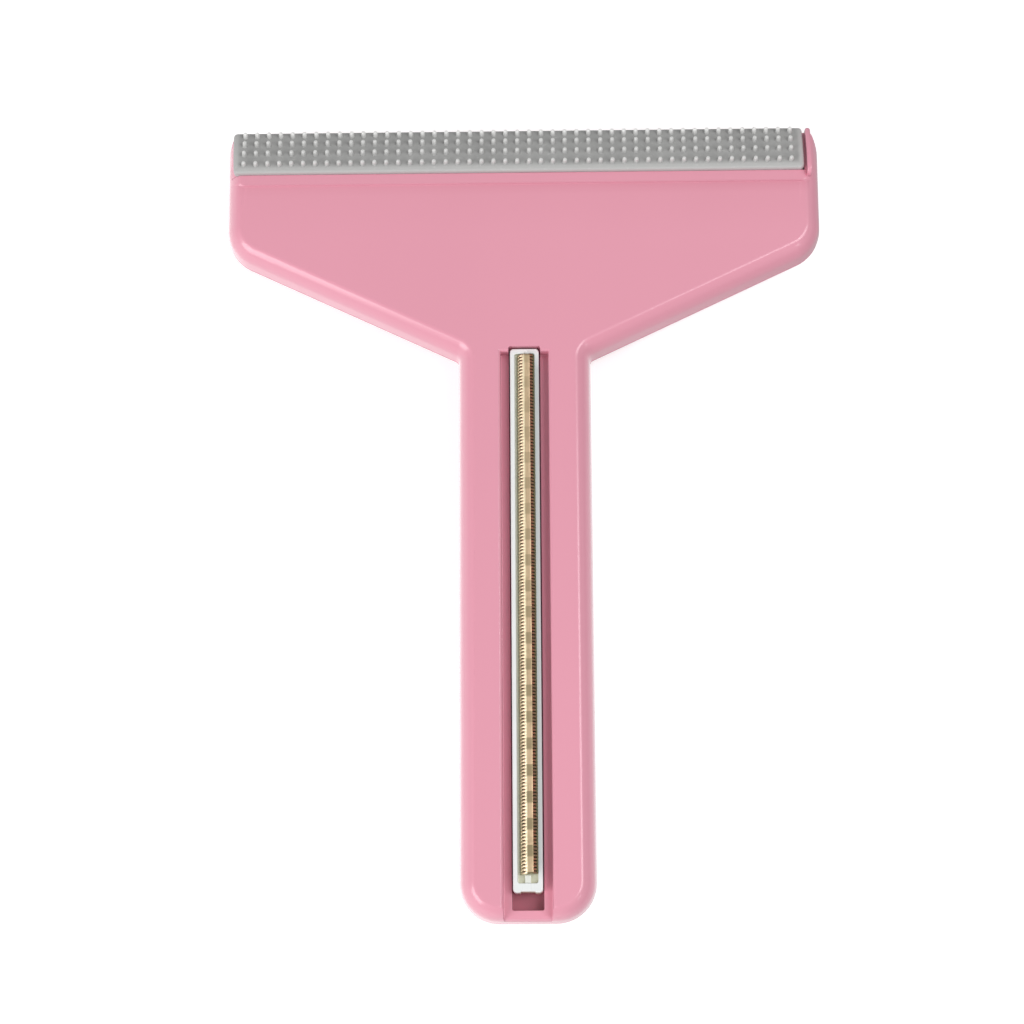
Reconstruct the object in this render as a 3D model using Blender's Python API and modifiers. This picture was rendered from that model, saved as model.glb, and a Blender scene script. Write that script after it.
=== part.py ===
"""Hand tool that scrapes lint and pet hair off carpet.

A T-shaped plastic body lies on its back. Its head carries a studded silicone strip on
a rail that slides out to the left. Its handle stores a spare cartridge with a folded,
slotted brass comb, which lifts out of its slot.

Units are metres. +X runs along the head, +Y from the handle to the head and +Z out of
the front face. The outline is laid out from the end of the handle, and one empty then
puts the origin under the middle of the tool.
"""
import math

import bmesh
import bpy
from mathutils import Matrix, Vector

# Overall size
OVERALL_LENGTH = 0.1860
HEAD_WIDTH = 0.140
HANDLE_WIDTH = 0.0308
SHELL_DEPTH = 0.0080
COVER_DEPTH = 0.0070

# Plan outline of the body, at its widest, which is the parting line
HEAD_DEPTH = 0.0555
HANDLE_END_RADIUS = 0.0090
NECK_RADIUS = 0.0014
SHOULDER_ANGLE = math.radians(25.3)
HEAD_CORNER_RADIUS = 0.0095
TOP_CORNER_RADIUS = 0.0032
TOP_CORNER_OFFSET = 0.00005
STRIP_OVERHANG = 0.0004

# Side walls, seen in section
SIDE_DRAFT = 0.0009
FRONT_EDGE_RADIUS = 0.0034
BACK_EDGE_RADIUS = 0.0045
BACK_DRAFT = 0.0006
PARTING_LAND = 0.0006
PARTING_GAP = 0.0003
WALL = 0.0020
COVER_FLOOR = 0.0020
COVER_HOLLOW_RADIUS = 0.0030

# Head: raised lip and end wall
LIP_WIDTH = 0.0025
LIP_RISE = 0.0005
LIP_SETBACK = 0.0001
END_WALL_THICKNESS = 0.0015
END_WALL_PROUD = 0.0010
END_WALL_ROUNDING = 0.0005
END_WALL_SPACE = 0.0040

# Silicone strip: the pad is bent round a centre line below the head
PAD_RADIUS = 0.0240
PAD_THICKNESS = 0.0020
PAD_MIDDLE_ANGLE = math.radians(20.0)
PAD_EDGE_PROUD = 0.0013
PAD_EDGE_RADIUS = 0.0009
PAD_EDGE_SHARE = 0.3
PAD_END_INSET = 0.0018
PAD_EDGE_BORDER = 0.0021
PAD_END_BORDER = 0.0025
NUB_ROWS = 4
NUB_PITCH = 0.0028
NUB_RADIUS = 0.0006
NUB_TIP_RADIUS = 0.00045
NUB_HEIGHT = 0.0014
NUB_ROOT = 0.0003
NUB_SIDES = 6

# Rail that carries the pad, and the groove that it slides in
RAIL_THICKNESS = 0.0010
RAIL_NECK_WIDTH = 0.0024
RAIL_FOOT_WIDTH = 0.0048
RAIL_FOOT_THICKNESS = 0.0010
RAIL_FOOT_ANGLE = math.radians(16.0)
RAIL_END_INSET = 0.0003
GROOVE_LIP_THICKNESS = 0.0010

# Handle: shallow recess, and the deeper slot for the spare comb
RECESS_WIDTH = 0.0111
RECESS_DEPTH = 0.0035
RECESS_CHAMFER = 0.0005
RECESS_END_SETBACK = 0.0004
SLOT_FLOOR_WALL = 0.0010
SLOT_END_WALL = 0.0024
SLOT_PAST_NECK = 0.0016
FINGER_GAP = 0.0042

# Spare cartridge: white carrier
CARRIER_WIDTH = 0.0067
CARRIER_SETBACK = 0.0012
CARRIER_RIM = 0.00105
CARRIER_CORNER = 0.00035
CARRIER_TOP_BLOCK = 0.0011
CARRIER_END_BLOCK = 0.0020
CARRIER_NOTCH_WIDTH = 0.0034
CARRIER_NOTCH_DEPTH = 0.0003
TROUGH_DEPTH = 0.0016
RIB_WIDTH = 0.0012
RIB_TOP_WIDTH = 0.0006
RIB_END_WIDTH = 0.0015
RIB_END_LENGTH = 0.0010

# Spare cartridge: folded brass comb
SLOT_PITCH = 0.00076
COMB_SLOT_WIDTH = 0.00030
COMB_SPINE_WIDTH = 0.0011
COMB_SPINE_SHIFT = 0.0005
COMB_LEFT_RUN = 0.0019
COMB_RIGHT_RUN = 0.0009
COMB_FLANK_DROP = 0.0023
COMB_SHEET = 0.00030

# Fastening: pins on the cover fit bores in the front shell
PIN_RADIUS = 0.0010
PIN_ENGAGEMENT = 0.0040
BOSS_RADIUS = 0.0026
HEAD_PIN_SHARES = (0.37, 0.71)
HEAD_PIN_RISE = 0.0135
HANDLE_PIN_SHARES = (0.065, 0.54)
HANDLE_PIN_PAD = 0.0050
HANDLE_CORE_WALL = 0.0016
HEAD_RIB_SHARES = (-0.54, 0.0, 0.54)
RIB_WALL = 0.0012

# Making
CLEARANCE = 0.0003
ARC_STEP = math.radians(9.0)
FRONT_EDGE_STEPS = 4
BACK_EDGE_STEPS = 3
POST_SIDES = 12
OVERRUN = 0.0060
WELD = 0.000001
FLAT_ANGLE = math.radians(0.5)
LEVEL_SHARE = 0.9
SHARP_ANGLE = math.radians(40.0)

# Places worked out from the sizes above
HALF_HEAD = HEAD_WIDTH / 2
HALF_HANDLE = HANDLE_WIDTH / 2
BODY_TOP = OVERALL_LENGTH - STRIP_OVERHANG
NECK_DISTANCE = OVERALL_LENGTH - HEAD_DEPTH
PARTING_HEIGHT = COVER_DEPTH
FRONT_HEIGHT = COVER_DEPTH + SHELL_DEPTH
SHELL_BASE = PARTING_HEIGHT + PARTING_GAP / 2
COVER_TOP = PARTING_HEIGHT - PARTING_GAP / 2
CAVITY_CEILING = FRONT_HEIGHT - WALL

PAD_STEP_ANGLE = NUB_PITCH / PAD_RADIUS
PAD_HALF_ANGLE = PAD_STEP_ANGLE * (NUB_ROWS - 1) / 2 + PAD_EDGE_BORDER / PAD_RADIUS
PAD_LOW_ANGLE = PAD_MIDDLE_ANGLE - PAD_HALF_ANGLE
PAD_HIGH_ANGLE = PAD_MIDDLE_ANGLE + PAD_HALF_ANGLE
PAD_ROUNDING = PAD_EDGE_RADIUS * PAD_EDGE_SHARE
PAD_REACH = (PAD_RADIUS - PAD_ROUNDING) * math.sin(PAD_HIGH_ANGLE - PAD_ROUNDING / PAD_RADIUS)
PAD_CENTRE_Y = OVERALL_LENGTH - PAD_REACH
PAD_CENTRE_Z = FRONT_HEIGHT + PAD_EDGE_PROUD - PAD_RADIUS * math.cos(PAD_LOW_ANGLE)
PAD_LEFT = PAD_END_INSET - HALF_HEAD
NUB_SPAN = HEAD_WIDTH - PAD_END_INSET - END_WALL_SPACE - 2 * PAD_END_BORDER
NUB_COLUMNS = math.floor(NUB_SPAN / NUB_PITCH) + 1
PAD_RIGHT = PAD_LEFT + 2 * PAD_END_BORDER + NUB_PITCH * (NUB_COLUMNS - 1)
CHANNEL_RIGHT = PAD_RIGHT + CLEARANCE
PAD_INNER_RADIUS = PAD_RADIUS - PAD_THICKNESS
RAIL_OUTER_RADIUS = PAD_INNER_RADIUS - CLEARANCE
RAIL_INNER_RADIUS = RAIL_OUTER_RADIUS - RAIL_THICKNESS
SEAT_RADIUS = RAIL_INNER_RADIUS - CLEARANCE
GROOVE_LIP_RADIUS = SEAT_RADIUS - GROOVE_LIP_THICKNESS
FOOT_TOP_RADIUS = GROOVE_LIP_RADIUS - CLEARANCE
FOOT_BOTTOM_RADIUS = FOOT_TOP_RADIUS - RAIL_FOOT_THICKNESS
CHANNEL_LOW_ANGLE = PAD_LOW_ANGLE - CLEARANCE / PAD_RADIUS
CHANNEL_HIGH_ANGLE = PAD_HIGH_ANGLE + CLEARANCE / SEAT_RADIUS
HEAD_CAVITY_STOP = PAD_CENTRE_Y + SEAT_RADIUS * math.sin(CHANNEL_LOW_ANGLE) - WALL
LIP_DISTANCE = PAD_CENTRE_Y + PAD_RADIUS * math.sin(CHANNEL_LOW_ANGLE) - LIP_WIDTH

SLOT_WIDTH = CARRIER_WIDTH + 2 * CLEARANCE
LEDGE_HEIGHT = FRONT_HEIGHT - RECESS_DEPTH
SLOT_FLOOR = PARTING_HEIGHT + SLOT_FLOOR_WALL
SLOT_STOP = NECK_DISTANCE + SLOT_PAST_NECK
CARRIER_BOTTOM = SLOT_FLOOR + CLEARANCE
CARRIER_TOP = FRONT_HEIGHT - CARRIER_SETBACK
CARRIER_START = SLOT_END_WALL + FINGER_GAP
CARRIER_STOP = SLOT_STOP - CLEARANCE
TROUGH_START = CARRIER_START + CARRIER_END_BLOCK
TROUGH_STOP = CARRIER_STOP - CARRIER_TOP_BLOCK
TROUGH_FLOOR = CARRIER_TOP - TROUGH_DEPTH
COMB_BOTTOM = TROUGH_FLOOR + CLEARANCE
COMB_TOP = COMB_BOTTOM + COMB_FLANK_DROP
COMB_INSIDE = COMB_TOP - COMB_SHEET
RIB_TOP = COMB_INSIDE - CLEARANCE
COMB_TOOTH_WIDTH = SLOT_PITCH - COMB_SLOT_WIDTH
COMB_STOP = TROUGH_STOP - CLEARANCE
COMB_ROOM = COMB_STOP - TROUGH_START - RIB_END_LENGTH - CLEARANCE - COMB_TOOTH_WIDTH
COMB_SLOTS = math.floor(COMB_ROOM / SLOT_PITCH)
COMB_START = COMB_STOP - SLOT_PITCH * COMB_SLOTS - COMB_TOOTH_WIDTH

PIN_TOP = PARTING_HEIGHT + PIN_ENGAGEMENT
HANDLE_PIN_Y = tuple(share * NECK_DISTANCE for share in HANDLE_PIN_SHARES)
BORE_RADIUS = PIN_RADIUS + CLEARANCE
HANDLE_CORE_DRAFT = SIDE_DRAFT * (CAVITY_CEILING - PARTING_HEIGHT) / SHELL_DEPTH
HANDLE_CORE_INNER = RECESS_WIDTH / 2 + HANDLE_CORE_WALL
HANDLE_CORE_OUTER = HALF_HANDLE - HANDLE_CORE_DRAFT - WALL
HANDLE_PIN_X = (HANDLE_CORE_INNER + HANDLE_CORE_OUTER) / 2


def clear_scene():
    """Remove every object of the open scene."""
    for item in list(bpy.data.objects):
        bpy.data.objects.remove(item, do_unlink=True)


def new_collection(name):
    """A collection linked to the scene."""
    collection = bpy.data.collections.new(name)
    bpy.context.scene.collection.children.link(collection)
    return collection


def plastic(name, colour, roughness, metallic=0.0):
    """A plain Principled BSDF material."""
    material = bpy.data.materials.new(name)
    material.use_nodes = True
    shader = material.node_tree.nodes["Principled BSDF"]
    shader.inputs["Base Color"].default_value = (*colour, 1.0)
    shader.inputs["Roughness"].default_value = roughness
    shader.inputs["Metallic"].default_value = metallic
    return material


def arc(centre, radius, start, stop):
    """Points on an arc from one angle to another, both ends included."""
    steps = max(1, math.ceil(abs(stop - start) / ARC_STEP))
    angles = [start + (stop - start) * i / steps for i in range(steps + 1)]
    return [(centre[0] + radius * math.cos(a), centre[1] + radius * math.sin(a)) for a in angles]


def polar(radius, angle):
    """A point of the head's section, from the pad's centre line; 0 is straight up."""
    return (PAD_CENTRE_Y + radius * math.sin(angle), PAD_CENTRE_Z + radius * math.cos(angle))


def polar_arc(radius, start, stop):
    """Points on an arc about the pad's centre line, one for each row of nubs at least."""
    steps = max(1, math.ceil(abs(stop - start) / PAD_STEP_ANGLE - WELD))
    return [polar(radius, start + (stop - start) * i / steps) for i in range(steps + 1)]


def shoulder_y(x, inset=0.0):
    """Y of the slanted side of the head, drawn in by an inset, at a distance from the middle."""
    slope = math.tan(SHOULDER_ANGLE)
    return NECK_DISTANCE + inset / math.cos(SHOULDER_ANGLE) + (x - HALF_HANDLE) * slope


def body_outline(inset, top):
    """Plan outline of the T, drawn in by an inset, with square corners at the top."""
    handle = HALF_HANDLE - inset
    head = HALF_HEAD - inset
    end_radius = HANDLE_END_RADIUS - inset
    neck_radius = NECK_RADIUS + inset
    corner_radius = HEAD_CORNER_RADIUS - inset
    turn = math.pi / 2 - SHOULDER_ANGLE
    reach = math.tan(turn / 2)
    right = arc((handle - end_radius, inset + end_radius), end_radius, -math.pi / 2, 0.0)
    neck_centre = (handle + neck_radius, shoulder_y(handle, inset) - neck_radius * reach)
    right += arc(neck_centre, neck_radius, math.pi, math.pi - turn)
    corner_centre = (head - corner_radius, shoulder_y(head, inset) + corner_radius * reach)
    right += arc(corner_centre, corner_radius, -turn, 0.0)
    right.append((head, top))
    left = [(-x, y) for x, y in reversed(right)]
    return right + left


def head_cavity_outline(inset):
    """Plan outline of the hollow in the head, between the comb slot and the strip's seat."""
    low = SLOT_STOP + WALL
    low_x = HALF_HANDLE + (low - shoulder_y(HALF_HANDLE, inset)) / math.tan(SHOULDER_ANGLE)
    upper = [(x, y) for x, y in body_outline(inset, HEAD_CAVITY_STOP) if y > low and abs(x) > low_x]
    return [(-low_x, low), (low_x, low)] + upper


def draft_inset(height):
    """How far the drafted side wall has come in at a height."""
    return SIDE_DRAFT * (height - PARTING_HEIGHT) / SHELL_DEPTH


def front_profile(front):
    """(inset, height) steps of a side of the front shell: land, drafted wall, rounded edge."""
    lean = math.atan2(SIDE_DRAFT, SHELL_DEPTH)
    tangent = FRONT_EDGE_RADIUS * math.tan((math.pi / 2 - lean) / 2)
    centre = (draft_inset(front) + tangent, front - FRONT_EDGE_RADIUS)
    steps = [(0.0, PARTING_HEIGHT + PARTING_LAND)]
    for i in range(FRONT_EDGE_STEPS + 1):
        angle = lean + (math.pi / 2 - lean) * i / FRONT_EDGE_STEPS
        inset = centre[0] - FRONT_EDGE_RADIUS * math.cos(angle)
        height = centre[1] + FRONT_EDGE_RADIUS * math.sin(angle)
        steps.append((inset, height))
    return steps


def back_profile(land, floor, radius):
    """(inset, height) steps of a side of the cover: land, short draft, rounded edge."""
    steps = [(0.0, land)]
    for i in range(BACK_EDGE_STEPS + 1):
        angle = math.pi / 2 * i / BACK_EDGE_STEPS
        inset = BACK_DRAFT + radius * (1 - math.cos(angle))
        height = floor + radius * (1 - math.sin(angle))
        steps.append((inset, height))
    return steps


def as_mesh(curve_object):
    """Turn a filled curve into a welded mesh object of the same name."""
    name = curve_object.name
    graph = bpy.context.evaluated_depsgraph_get()
    mesh = bpy.data.meshes.new_from_object(curve_object.evaluated_get(graph))
    matrix = curve_object.matrix_world.copy()
    curve = curve_object.data
    bpy.data.objects.remove(curve_object, do_unlink=True)
    bpy.data.curves.remove(curve)
    welded = bmesh.new()
    welded.from_mesh(mesh)
    bmesh.ops.remove_doubles(welded, verts=welded.verts, dist=WELD)
    bmesh.ops.dissolve_limit(
        welded, angle_limit=FLAT_ANGLE, verts=welded.verts, edges=welded.edges)
    bmesh.ops.recalc_face_normals(welded, faces=welded.faces)
    welded.to_mesh(mesh)
    welded.free()
    result = bpy.data.objects.new(name, mesh)
    result.matrix_world = matrix
    return result


def slab(name, outline, low, high, collection):
    """A flat outline given a thickness along Z: a filled 2D curve, turned into a mesh."""
    curve = bpy.data.curves.new(name, "CURVE")
    curve.dimensions = "2D"
    curve.fill_mode = "BOTH"
    curve.extrude = (high - low) / 2
    spline = curve.splines.new("POLY")
    spline.points.add(len(outline) - 1)
    for point, (x, y) in zip(spline.points, outline):
        point.co = (x, y, 0.0, 1.0)
    spline.use_cyclic_u = True
    raw = bpy.data.objects.new(name, curve)
    raw.location.z = (low + high) / 2
    collection.objects.link(raw)
    bpy.context.view_layer.update()
    result = as_mesh(raw)
    collection.objects.link(result)
    result.data.transform(result.matrix_world)
    result.matrix_world = Matrix.Identity(4)
    return result


def bar(name, section, low, high, collection):
    """A (Y, Z) section carried along X."""
    result = slab(name, section, low, high, collection)
    turn = Matrix(((0, 0, 1, 0), (1, 0, 0, 0), (0, 1, 0, 0), (0, 0, 0, 1)))
    result.data.transform(turn)
    return result


def rail(name, section, low, high, collection):
    """An (X, Z) section carried along Y."""
    result = slab(name, section, -high, -low, collection)
    result.data.transform(Matrix.Rotation(math.pi / 2, 4, "X"))
    return result


def block(name, low, high, collection):
    """A box between two corners."""
    shape = bmesh.new()
    bmesh.ops.create_cube(shape, size=1.0)
    size = Vector(high) - Vector(low)
    bmesh.ops.scale(shape, vec=size, verts=shape.verts)
    bmesh.ops.translate(shape, vec=(Vector(high) + Vector(low)) / 2, verts=shape.verts)
    return from_bmesh(name, shape, collection)


def posts(name, places, radius, low, high, collection):
    """Upright round posts, as one mesh of separate bodies."""
    shape = bmesh.new()
    for x, y in places:
        centre = Matrix.Translation((x, y, (low + high) / 2))
        bmesh.ops.create_cone(
            shape, cap_ends=True, segments=POST_SIDES, radius1=radius, radius2=radius,
            depth=high - low, matrix=centre)
    return from_bmesh(name, shape, collection)


def from_bmesh(name, shape, collection):
    """Store a bmesh as a new object."""
    mesh = bpy.data.meshes.new(name)
    bmesh.ops.recalc_face_normals(shape, faces=shape.faces)
    shape.to_mesh(mesh)
    shape.free()
    result = bpy.data.objects.new(name, mesh)
    collection.objects.link(result)
    return result


def rounded_side(name, outline, base, land, profile, collection):
    """A flat outline given its land, then one inset ring for each step of the side's profile."""
    result = slab(name, outline, min(base, land), max(base, land), collection)
    shape = bmesh.new()
    shape.from_mesh(result.data)
    way = 1.0 if land > base else -1.0
    inset, height = profile[0]
    for next_inset, next_height in profile[1:]:
        caps = [face for face in shape.faces
                if face.normal.z * way > LEVEL_SHARE
                and abs(face.calc_center_median().z - height) < WELD]
        bmesh.ops.inset_region(
            shape, faces=caps, use_boundary=True, use_even_offset=True,
            thickness=next_inset - inset, depth=(next_height - height) * way)
        inset, height = next_inset, next_height
    shape.to_mesh(result.data)
    shape.free()
    return result


def boolean(target, other, operation):
    """Leave a Boolean modifier on the target."""
    step = target.modifiers.new(f"{operation.lower()}_{other.name}", "BOOLEAN")
    step.operation = operation
    step.object = other
    step.solver = "EXACT"


def trim_to_plan(target, cutters):
    """Cut the top of the head straight, with small rounded corners."""
    radius = TOP_CORNER_RADIUS
    far = HALF_HEAD + OVERRUN
    centre_x = HALF_HEAD + TOP_CORNER_OFFSET - radius
    centre_y = BODY_TOP - radius
    plan = [(-far, -OVERRUN), (far, -OVERRUN), (far, centre_y)]
    plan += arc((centre_x, centre_y), radius, 0.0, math.pi / 2)
    plan += arc((-centre_x, centre_y), radius, math.pi / 2, math.pi)
    plan.append((-far, centre_y))
    limit = slab(f"{target.name}_plan", plan, -OVERRUN, FRONT_HEIGHT + OVERRUN, cutters)
    boolean(target, limit, "INTERSECT")


def head_pin_places():
    """Where the pins of the head stand, on both sides of the middle."""
    xs = [side * share * HALF_HEAD for side in (-1, 1) for share in HEAD_PIN_SHARES]
    return [(x, shoulder_y(abs(x)) + HEAD_PIN_RISE) for x in xs]


def pin_places():
    """Where all the pins stand."""
    handle = [(side * HANDLE_PIN_X, y) for side in (-1, 1) for y in HANDLE_PIN_Y]
    return head_pin_places() + handle


def strip_channel(name, cutters):
    """The seat of the strip with its T-shaped groove, open to the left."""
    neck = (RAIL_NECK_WIDTH / 2 + CLEARANCE) / SEAT_RADIUS
    foot = (RAIL_FOOT_WIDTH / 2 + CLEARANCE) / FOOT_TOP_RADIUS
    low = CHANNEL_LOW_ANGLE
    middle = RAIL_FOOT_ANGLE
    groove_floor = FOOT_BOTTOM_RADIUS - CLEARANCE
    section = [polar(PAD_RADIUS + OVERRUN, low)]
    section += polar_arc(SEAT_RADIUS, low, middle - neck)
    section += [polar(GROOVE_LIP_RADIUS, middle - neck), polar(GROOVE_LIP_RADIUS, middle - foot)]
    section += polar_arc(groove_floor, middle - foot, middle + foot)
    section += [polar(GROOVE_LIP_RADIUS, middle + foot), polar(GROOVE_LIP_RADIUS, middle + neck)]
    section += polar_arc(SEAT_RADIUS, middle + neck, CHANNEL_HIGH_ANGLE)
    section.append((BODY_TOP + OVERRUN, section[-1][1]))
    section.append((BODY_TOP + OVERRUN, section[0][1]))
    section.reverse()
    return bar(name, section, -HALF_HEAD - OVERRUN, CHANNEL_RIGHT, cutters)


def end_wall(name, cutters):
    """The wall at the right end of the channel, as high as the studs."""
    crest = PAD_RADIUS + END_WALL_PROUD
    high = math.asin((BODY_TOP - PAD_CENTRE_Y) / crest)
    low = PAD_LOW_ANGLE
    foot = SHELL_BASE + PARTING_LAND
    section = [polar(SEAT_RADIUS, low)] + polar_arc(crest, low, high)
    section.append((BODY_TOP, foot))
    section.append((polar(SEAT_RADIUS, low)[0], foot))
    section.reverse()
    wall = bar(name, section, PAD_RIGHT - WALL, CHANNEL_RIGHT + END_WALL_THICKNESS, cutters)
    soften = wall.modifiers.new("rounded_edges", "BEVEL")
    soften.width = END_WALL_ROUNDING
    soften.segments = 2
    soften.limit_method = "ANGLE"
    soften.angle_limit = SHARP_ANGLE
    return wall


def make_lip(cutters):
    """The raised border of the strip, rounded like the rest of the front."""
    front = FRONT_HEIGHT + LIP_RISE
    profile = front_profile(front)
    before, after = [step for step in profile if step[1] < FRONT_HEIGHT][-1], profile[-1]
    share = (FRONT_HEIGHT - before[1]) / (after[1] - before[1])
    crease = before[0] + (after[0] - before[0]) * share
    half = HALF_HEAD - LIP_SETBACK
    low = LIP_DISTANCE - crease
    high = OVERALL_LENGTH + OVERRUN
    plan = [(-half, low), (half, low), (half, high), (-half, high)]
    return rounded_side("lip", plan, PARTING_HEIGHT + PARTING_LAND / 2, profile[0][1], profile, cutters)


def make_front_shell(parts, cutters):
    """The T-shaped front half with the lip, the channel, the recess and the slot."""
    profile = front_profile(FRONT_HEIGHT)
    shell = rounded_side(
        "front_shell", body_outline(0.0, OVERALL_LENGTH + OVERRUN), SHELL_BASE,
        profile[0][1], profile, parts)
    boolean(shell, make_lip(cutters), "UNION")
    boolean(shell, end_wall("end_wall", cutters), "UNION")
    trim_to_plan(shell, cutters)
    hollow_front_shell(shell, cutters)
    boolean(shell, strip_channel("strip_channel", cutters), "DIFFERENCE")

    half = RECESS_WIDTH / 2
    flare = half + RECESS_CHAMFER + OVERRUN
    recess = [(-half, LEDGE_HEIGHT), (half, LEDGE_HEIGHT), (half, FRONT_HEIGHT - RECESS_CHAMFER),
              (flare, FRONT_HEIGHT + OVERRUN), (-flare, FRONT_HEIGHT + OVERRUN),
              (-half, FRONT_HEIGHT - RECESS_CHAMFER)]
    stop = SLOT_STOP - RECESS_END_SETBACK
    boolean(shell, rail("recess", recess, -OVERRUN, stop, cutters), "DIFFERENCE")
    slot = block(
        "comb_slot", (-SLOT_WIDTH / 2, SLOT_END_WALL, SLOT_FLOOR),
        (SLOT_WIDTH / 2, SLOT_STOP, LEDGE_HEIGHT + OVERRUN), cutters)
    boolean(shell, slot, "DIFFERENCE")
    return shell


def hollow_front_shell(shell, cutters):
    """Core out the head and the sides of the handle, and leave ribs and bored bosses."""
    low = PARTING_HEIGHT - OVERRUN
    land = PARTING_HEIGHT + PARTING_LAND
    head = rounded_side(
        "head_cavity", head_cavity_outline(WALL), low, land,
        [(0.0, land), (draft_inset(CAVITY_CEILING), CAVITY_CEILING)], cutters)
    boolean(shell, head, "DIFFERENCE")

    spans = zip(HANDLE_PIN_Y, HANDLE_PIN_Y[1:] + (NECK_DISTANCE,))
    for number, (start, stop) in enumerate(spans):
        for side, name in ((-1, "left"), (1, "right")):
            left, right = sorted((side * HANDLE_CORE_INNER, side * HANDLE_CORE_OUTER))
            core = block(
                f"handle_core_{name}_{number}", (left, start + HANDLE_PIN_PAD, low),
                (right, stop - HANDLE_PIN_PAD, CAVITY_CEILING), cutters)
            boolean(shell, core, "DIFFERENCE")

    sunk = CAVITY_CEILING + WALL / 2
    stop = HEAD_CAVITY_STOP + WALL / 2
    for number, share in enumerate(HEAD_RIB_SHARES):
        x = share * HALF_HEAD
        starts = []
        for height in (SHELL_BASE, sunk):
            inset = draft_inset(height) + WALL / 2
            starts.append(max(SLOT_STOP + WALL / 2, shoulder_y(abs(x), inset)))
        section = [(starts[0], SHELL_BASE), (stop, SHELL_BASE), (stop, sunk), (starts[1], sunk)]
        rib = bar(f"head_rib_{number}", section, x - RIB_WALL / 2, x + RIB_WALL / 2, cutters)
        boolean(shell, rib, "UNION")
    bosses = posts("bosses", head_pin_places(), BOSS_RADIUS, SHELL_BASE, sunk, cutters)
    boolean(shell, bosses, "UNION")
    bores = posts("bores", pin_places(), BORE_RADIUS, low, PIN_TOP + CLEARANCE, cutters)
    boolean(shell, bores, "DIFFERENCE")


def make_back_cover(parts, cutters):
    """The rounded back half, a shallow tray with pins that fit the bores of the shell."""
    land = COVER_TOP - PARTING_LAND
    profile = back_profile(land, 0.0, BACK_EDGE_RADIUS)
    cover = rounded_side(
        "back_cover", body_outline(0.0, OVERALL_LENGTH + OVERRUN), COVER_TOP,
        land, profile, parts)
    trim_to_plan(cover, cutters)

    inset = WALL + BACK_DRAFT
    hollow = rounded_side(
        "cover_hollow", body_outline(inset, BODY_TOP - inset), COVER_TOP + OVERRUN, land,
        back_profile(land, COVER_FLOOR, COVER_HOLLOW_RADIUS), cutters)
    boolean(cover, hollow, "DIFFERENCE")
    pins = posts("pins", pin_places(), PIN_RADIUS, COVER_FLOOR / 2, PIN_TOP, cutters)
    boolean(cover, pins, "UNION")
    return cover


def make_silicone_strip(parts, cutters):
    """The bent silicone pad and its rows of studs."""
    edge = PAD_ROUNDING / PAD_RADIUS
    shoulder = PAD_RADIUS - PAD_ROUNDING
    facets = [PAD_MIDDLE_ANGLE + (i - NUB_ROWS / 2) * PAD_STEP_ANGLE for i in range(NUB_ROWS + 1)]
    section = [polar(PAD_INNER_RADIUS, PAD_LOW_ANGLE)]
    section.append(polar(PAD_RADIUS - PAD_EDGE_RADIUS, PAD_LOW_ANGLE))
    section.append(polar(shoulder, PAD_LOW_ANGLE + edge))
    section += [polar(PAD_RADIUS, angle) for angle in facets]
    section.append(polar(shoulder, PAD_HIGH_ANGLE - edge))
    section.append(polar(PAD_RADIUS - PAD_EDGE_RADIUS, PAD_HIGH_ANGLE))
    section += polar_arc(PAD_INNER_RADIUS, PAD_HIGH_ANGLE, PAD_LOW_ANGLE)[:-1]
    section.reverse()
    strip = bar("silicone_strip", section, PAD_LEFT, PAD_RIGHT, parts)

    studs = bmesh.new()
    for row in range(NUB_ROWS):
        angle = PAD_MIDDLE_ANGLE + (row - (NUB_ROWS - 1) / 2) * PAD_STEP_ANGLE
        middle = PAD_RADIUS + (NUB_HEIGHT - NUB_ROOT) / 2
        y, z = polar(middle, angle)
        for column in range(NUB_COLUMNS):
            x = PAD_LEFT + PAD_END_BORDER + column * NUB_PITCH
            place = Matrix.Translation((x, y, z)) @ Matrix.Rotation(-angle, 4, "X")
            bmesh.ops.create_cone(
                studs, cap_ends=True, segments=NUB_SIDES, radius1=NUB_RADIUS,
                radius2=NUB_TIP_RADIUS, depth=NUB_HEIGHT + NUB_ROOT, matrix=place)
    boolean(strip, from_bmesh("studs", studs, cutters), "UNION")
    return strip


def make_strip_rail(parts):
    """The stiff rail behind the pad, with the T-shaped foot that slides in the groove."""
    neck = RAIL_NECK_WIDTH / 2 / SEAT_RADIUS
    foot = RAIL_FOOT_WIDTH / 2 / FOOT_TOP_RADIUS
    middle = RAIL_FOOT_ANGLE
    section = polar_arc(RAIL_OUTER_RADIUS, PAD_LOW_ANGLE, PAD_HIGH_ANGLE)
    section += polar_arc(RAIL_INNER_RADIUS, PAD_HIGH_ANGLE, middle + neck)
    section += [polar(FOOT_TOP_RADIUS, middle + neck), polar(FOOT_TOP_RADIUS, middle + foot)]
    section += polar_arc(FOOT_BOTTOM_RADIUS, middle + foot, middle - foot)
    section += [polar(FOOT_TOP_RADIUS, middle - foot), polar(FOOT_TOP_RADIUS, middle - neck)]
    section += polar_arc(RAIL_INNER_RADIUS, middle - neck, PAD_LOW_ANGLE)
    section.reverse()
    return bar(
        "strip_rail", section, PAD_LEFT + RAIL_END_INSET, PAD_RIGHT - RAIL_END_INSET, parts)


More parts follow.
